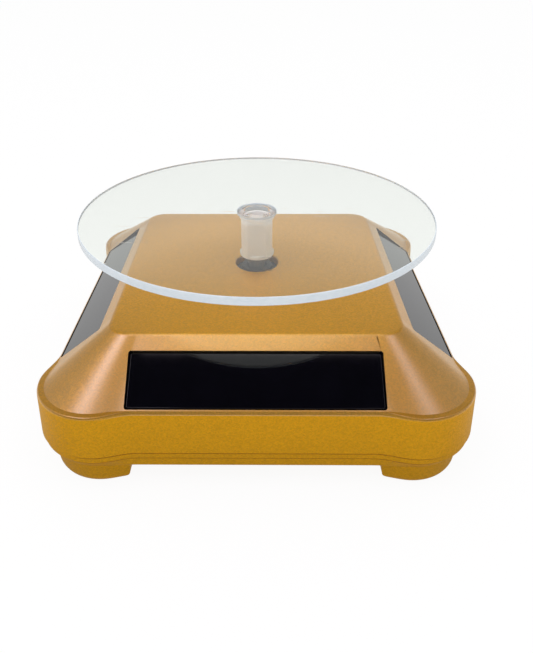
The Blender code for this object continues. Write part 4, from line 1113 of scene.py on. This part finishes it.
def spread(tree, value, *limits):
    """A value from the first two limits spread between the last two."""
    node = tree.nodes.new("ShaderNodeMapRange")
    tree.links.new(value, node.inputs["Value"])
    feed_numbers(node, ("From Min", "From Max", "To Min", "To Max"), limits)
    return node.outputs[0]


def calculate(tree, operation, *values):
    node = tree.nodes.new("ShaderNodeMath")
    node.operation = operation
    for socket, value in zip(node.inputs, values):
        tree.links.new(value, socket)
    return node.outputs[0]


def add_world():
    """Plain light for the shading, a graded sky as the object mirrors it, white to the camera."""
    world = bpy.data.worlds.new("studio")
    bpy.context.scene.world = world
    world.use_nodes = True
    tree = world.node_tree
    nodes, links = tree.nodes, tree.links
    axes = nodes.new("ShaderNodeSeparateXYZ")
    links.new(nodes.new("ShaderNodeTexCoord").outputs["Generated"], axes.inputs[0])
    x, y, z = axes.outputs
    front = spread(tree, y, *FRONT_REACH, FRONT_DIM, 1.0)
    wing = spread(tree, calculate(tree, "ABSOLUTE", x), *WING_REACH, 1.0, WING_DIM)
    mirrored = nodes.new("ShaderNodeVectorMath")
    mirrored.operation = "SCALE"
    links.new(grey_ramp(tree, z, MIRRORED_SKY), mirrored.inputs[0])
    links.new(calculate(tree, "MULTIPLY", front, wing), mirrored.inputs["Scale"])
    rays = nodes.new("ShaderNodeLightPath").outputs
    clear = grey_ramp(tree, z, WHITE_THROUGH_DISC)
    through = calculate(tree, "MULTIPLY", rays["Is Transmission Ray"], clear)
    seen = (
        (rays["Is Glossy Ray"], mirrored.outputs[0]),
        (rays["Is Transmission Ray"], (UNDER_DISC, UNDER_DISC, UNDER_DISC, 1.0)),
        (through, WHITE),
        (rays["Is Camera Ray"], WHITE),
    )
    colour = None
    for share, value in seen:
        mixed = nodes.new("ShaderNodeMix")
        mixed.data_type = "RGBA"
        links.new(share, mixed.inputs[0])
        if colour is None:
            mixed.inputs[6].default_value = (AMBIENT, AMBIENT, AMBIENT, 1.0)
        else:
            links.new(colour, mixed.inputs[6])
        if isinstance(value, tuple):
            mixed.inputs[7].default_value = value
        else:
            links.new(value, mixed.inputs[7])
        colour = mixed.outputs[2]
    links.new(colour, nodes["Background"].inputs["Color"])


def main():
    bpy.context.scene.view_settings.view_transform = "Standard"
    add_camera()
    add_world()
    for name, direction, size, power, colour in LAMPS:
        add_light(name, direction, size, power, colour)
    backdrop()
    gold = gold_lacquer()
    # Black for the window walls: painted shade in the recess.
    recess_shade = moulded("painted_recess_shade", (0.006, 0.006, 0.007), 0.5)
    # Pale metal for the window's bevelled mouth: a painted highlight on the lip.
    make_shell(gold, recess_shade, metal("painted_lip_highlight", (0.98, 0.82, 0.60), 0.32, (1.0, 1.0, 1.0)))
    make_tray(gold)
    make_panels(solar_glass())
    make_disc(clear_acrylic("disc_acrylic", (0.955, 0.990, 0.945), 0.012, 0.5), acrylic_edge())
    make_post(
        clear_acrylic("post_acrylic", (0.97, 0.98, 0.97), 0.05, 0.0, 1.22, 0.85),
        frosted_acrylic("frosted_acrylic", 0.5, (0.95, 0.90, 0.83), (1.0, 0.955, 0.89)),
        # Whiter and less clear: a painted highlight on the band under the collar.
        frosted_acrylic("painted_highlight_acrylic", 0.15, (0.97, 0.97, 0.96), (1.0, 1.0, 1.0)),
    )
    dress_cad_nodes(gold)


main()
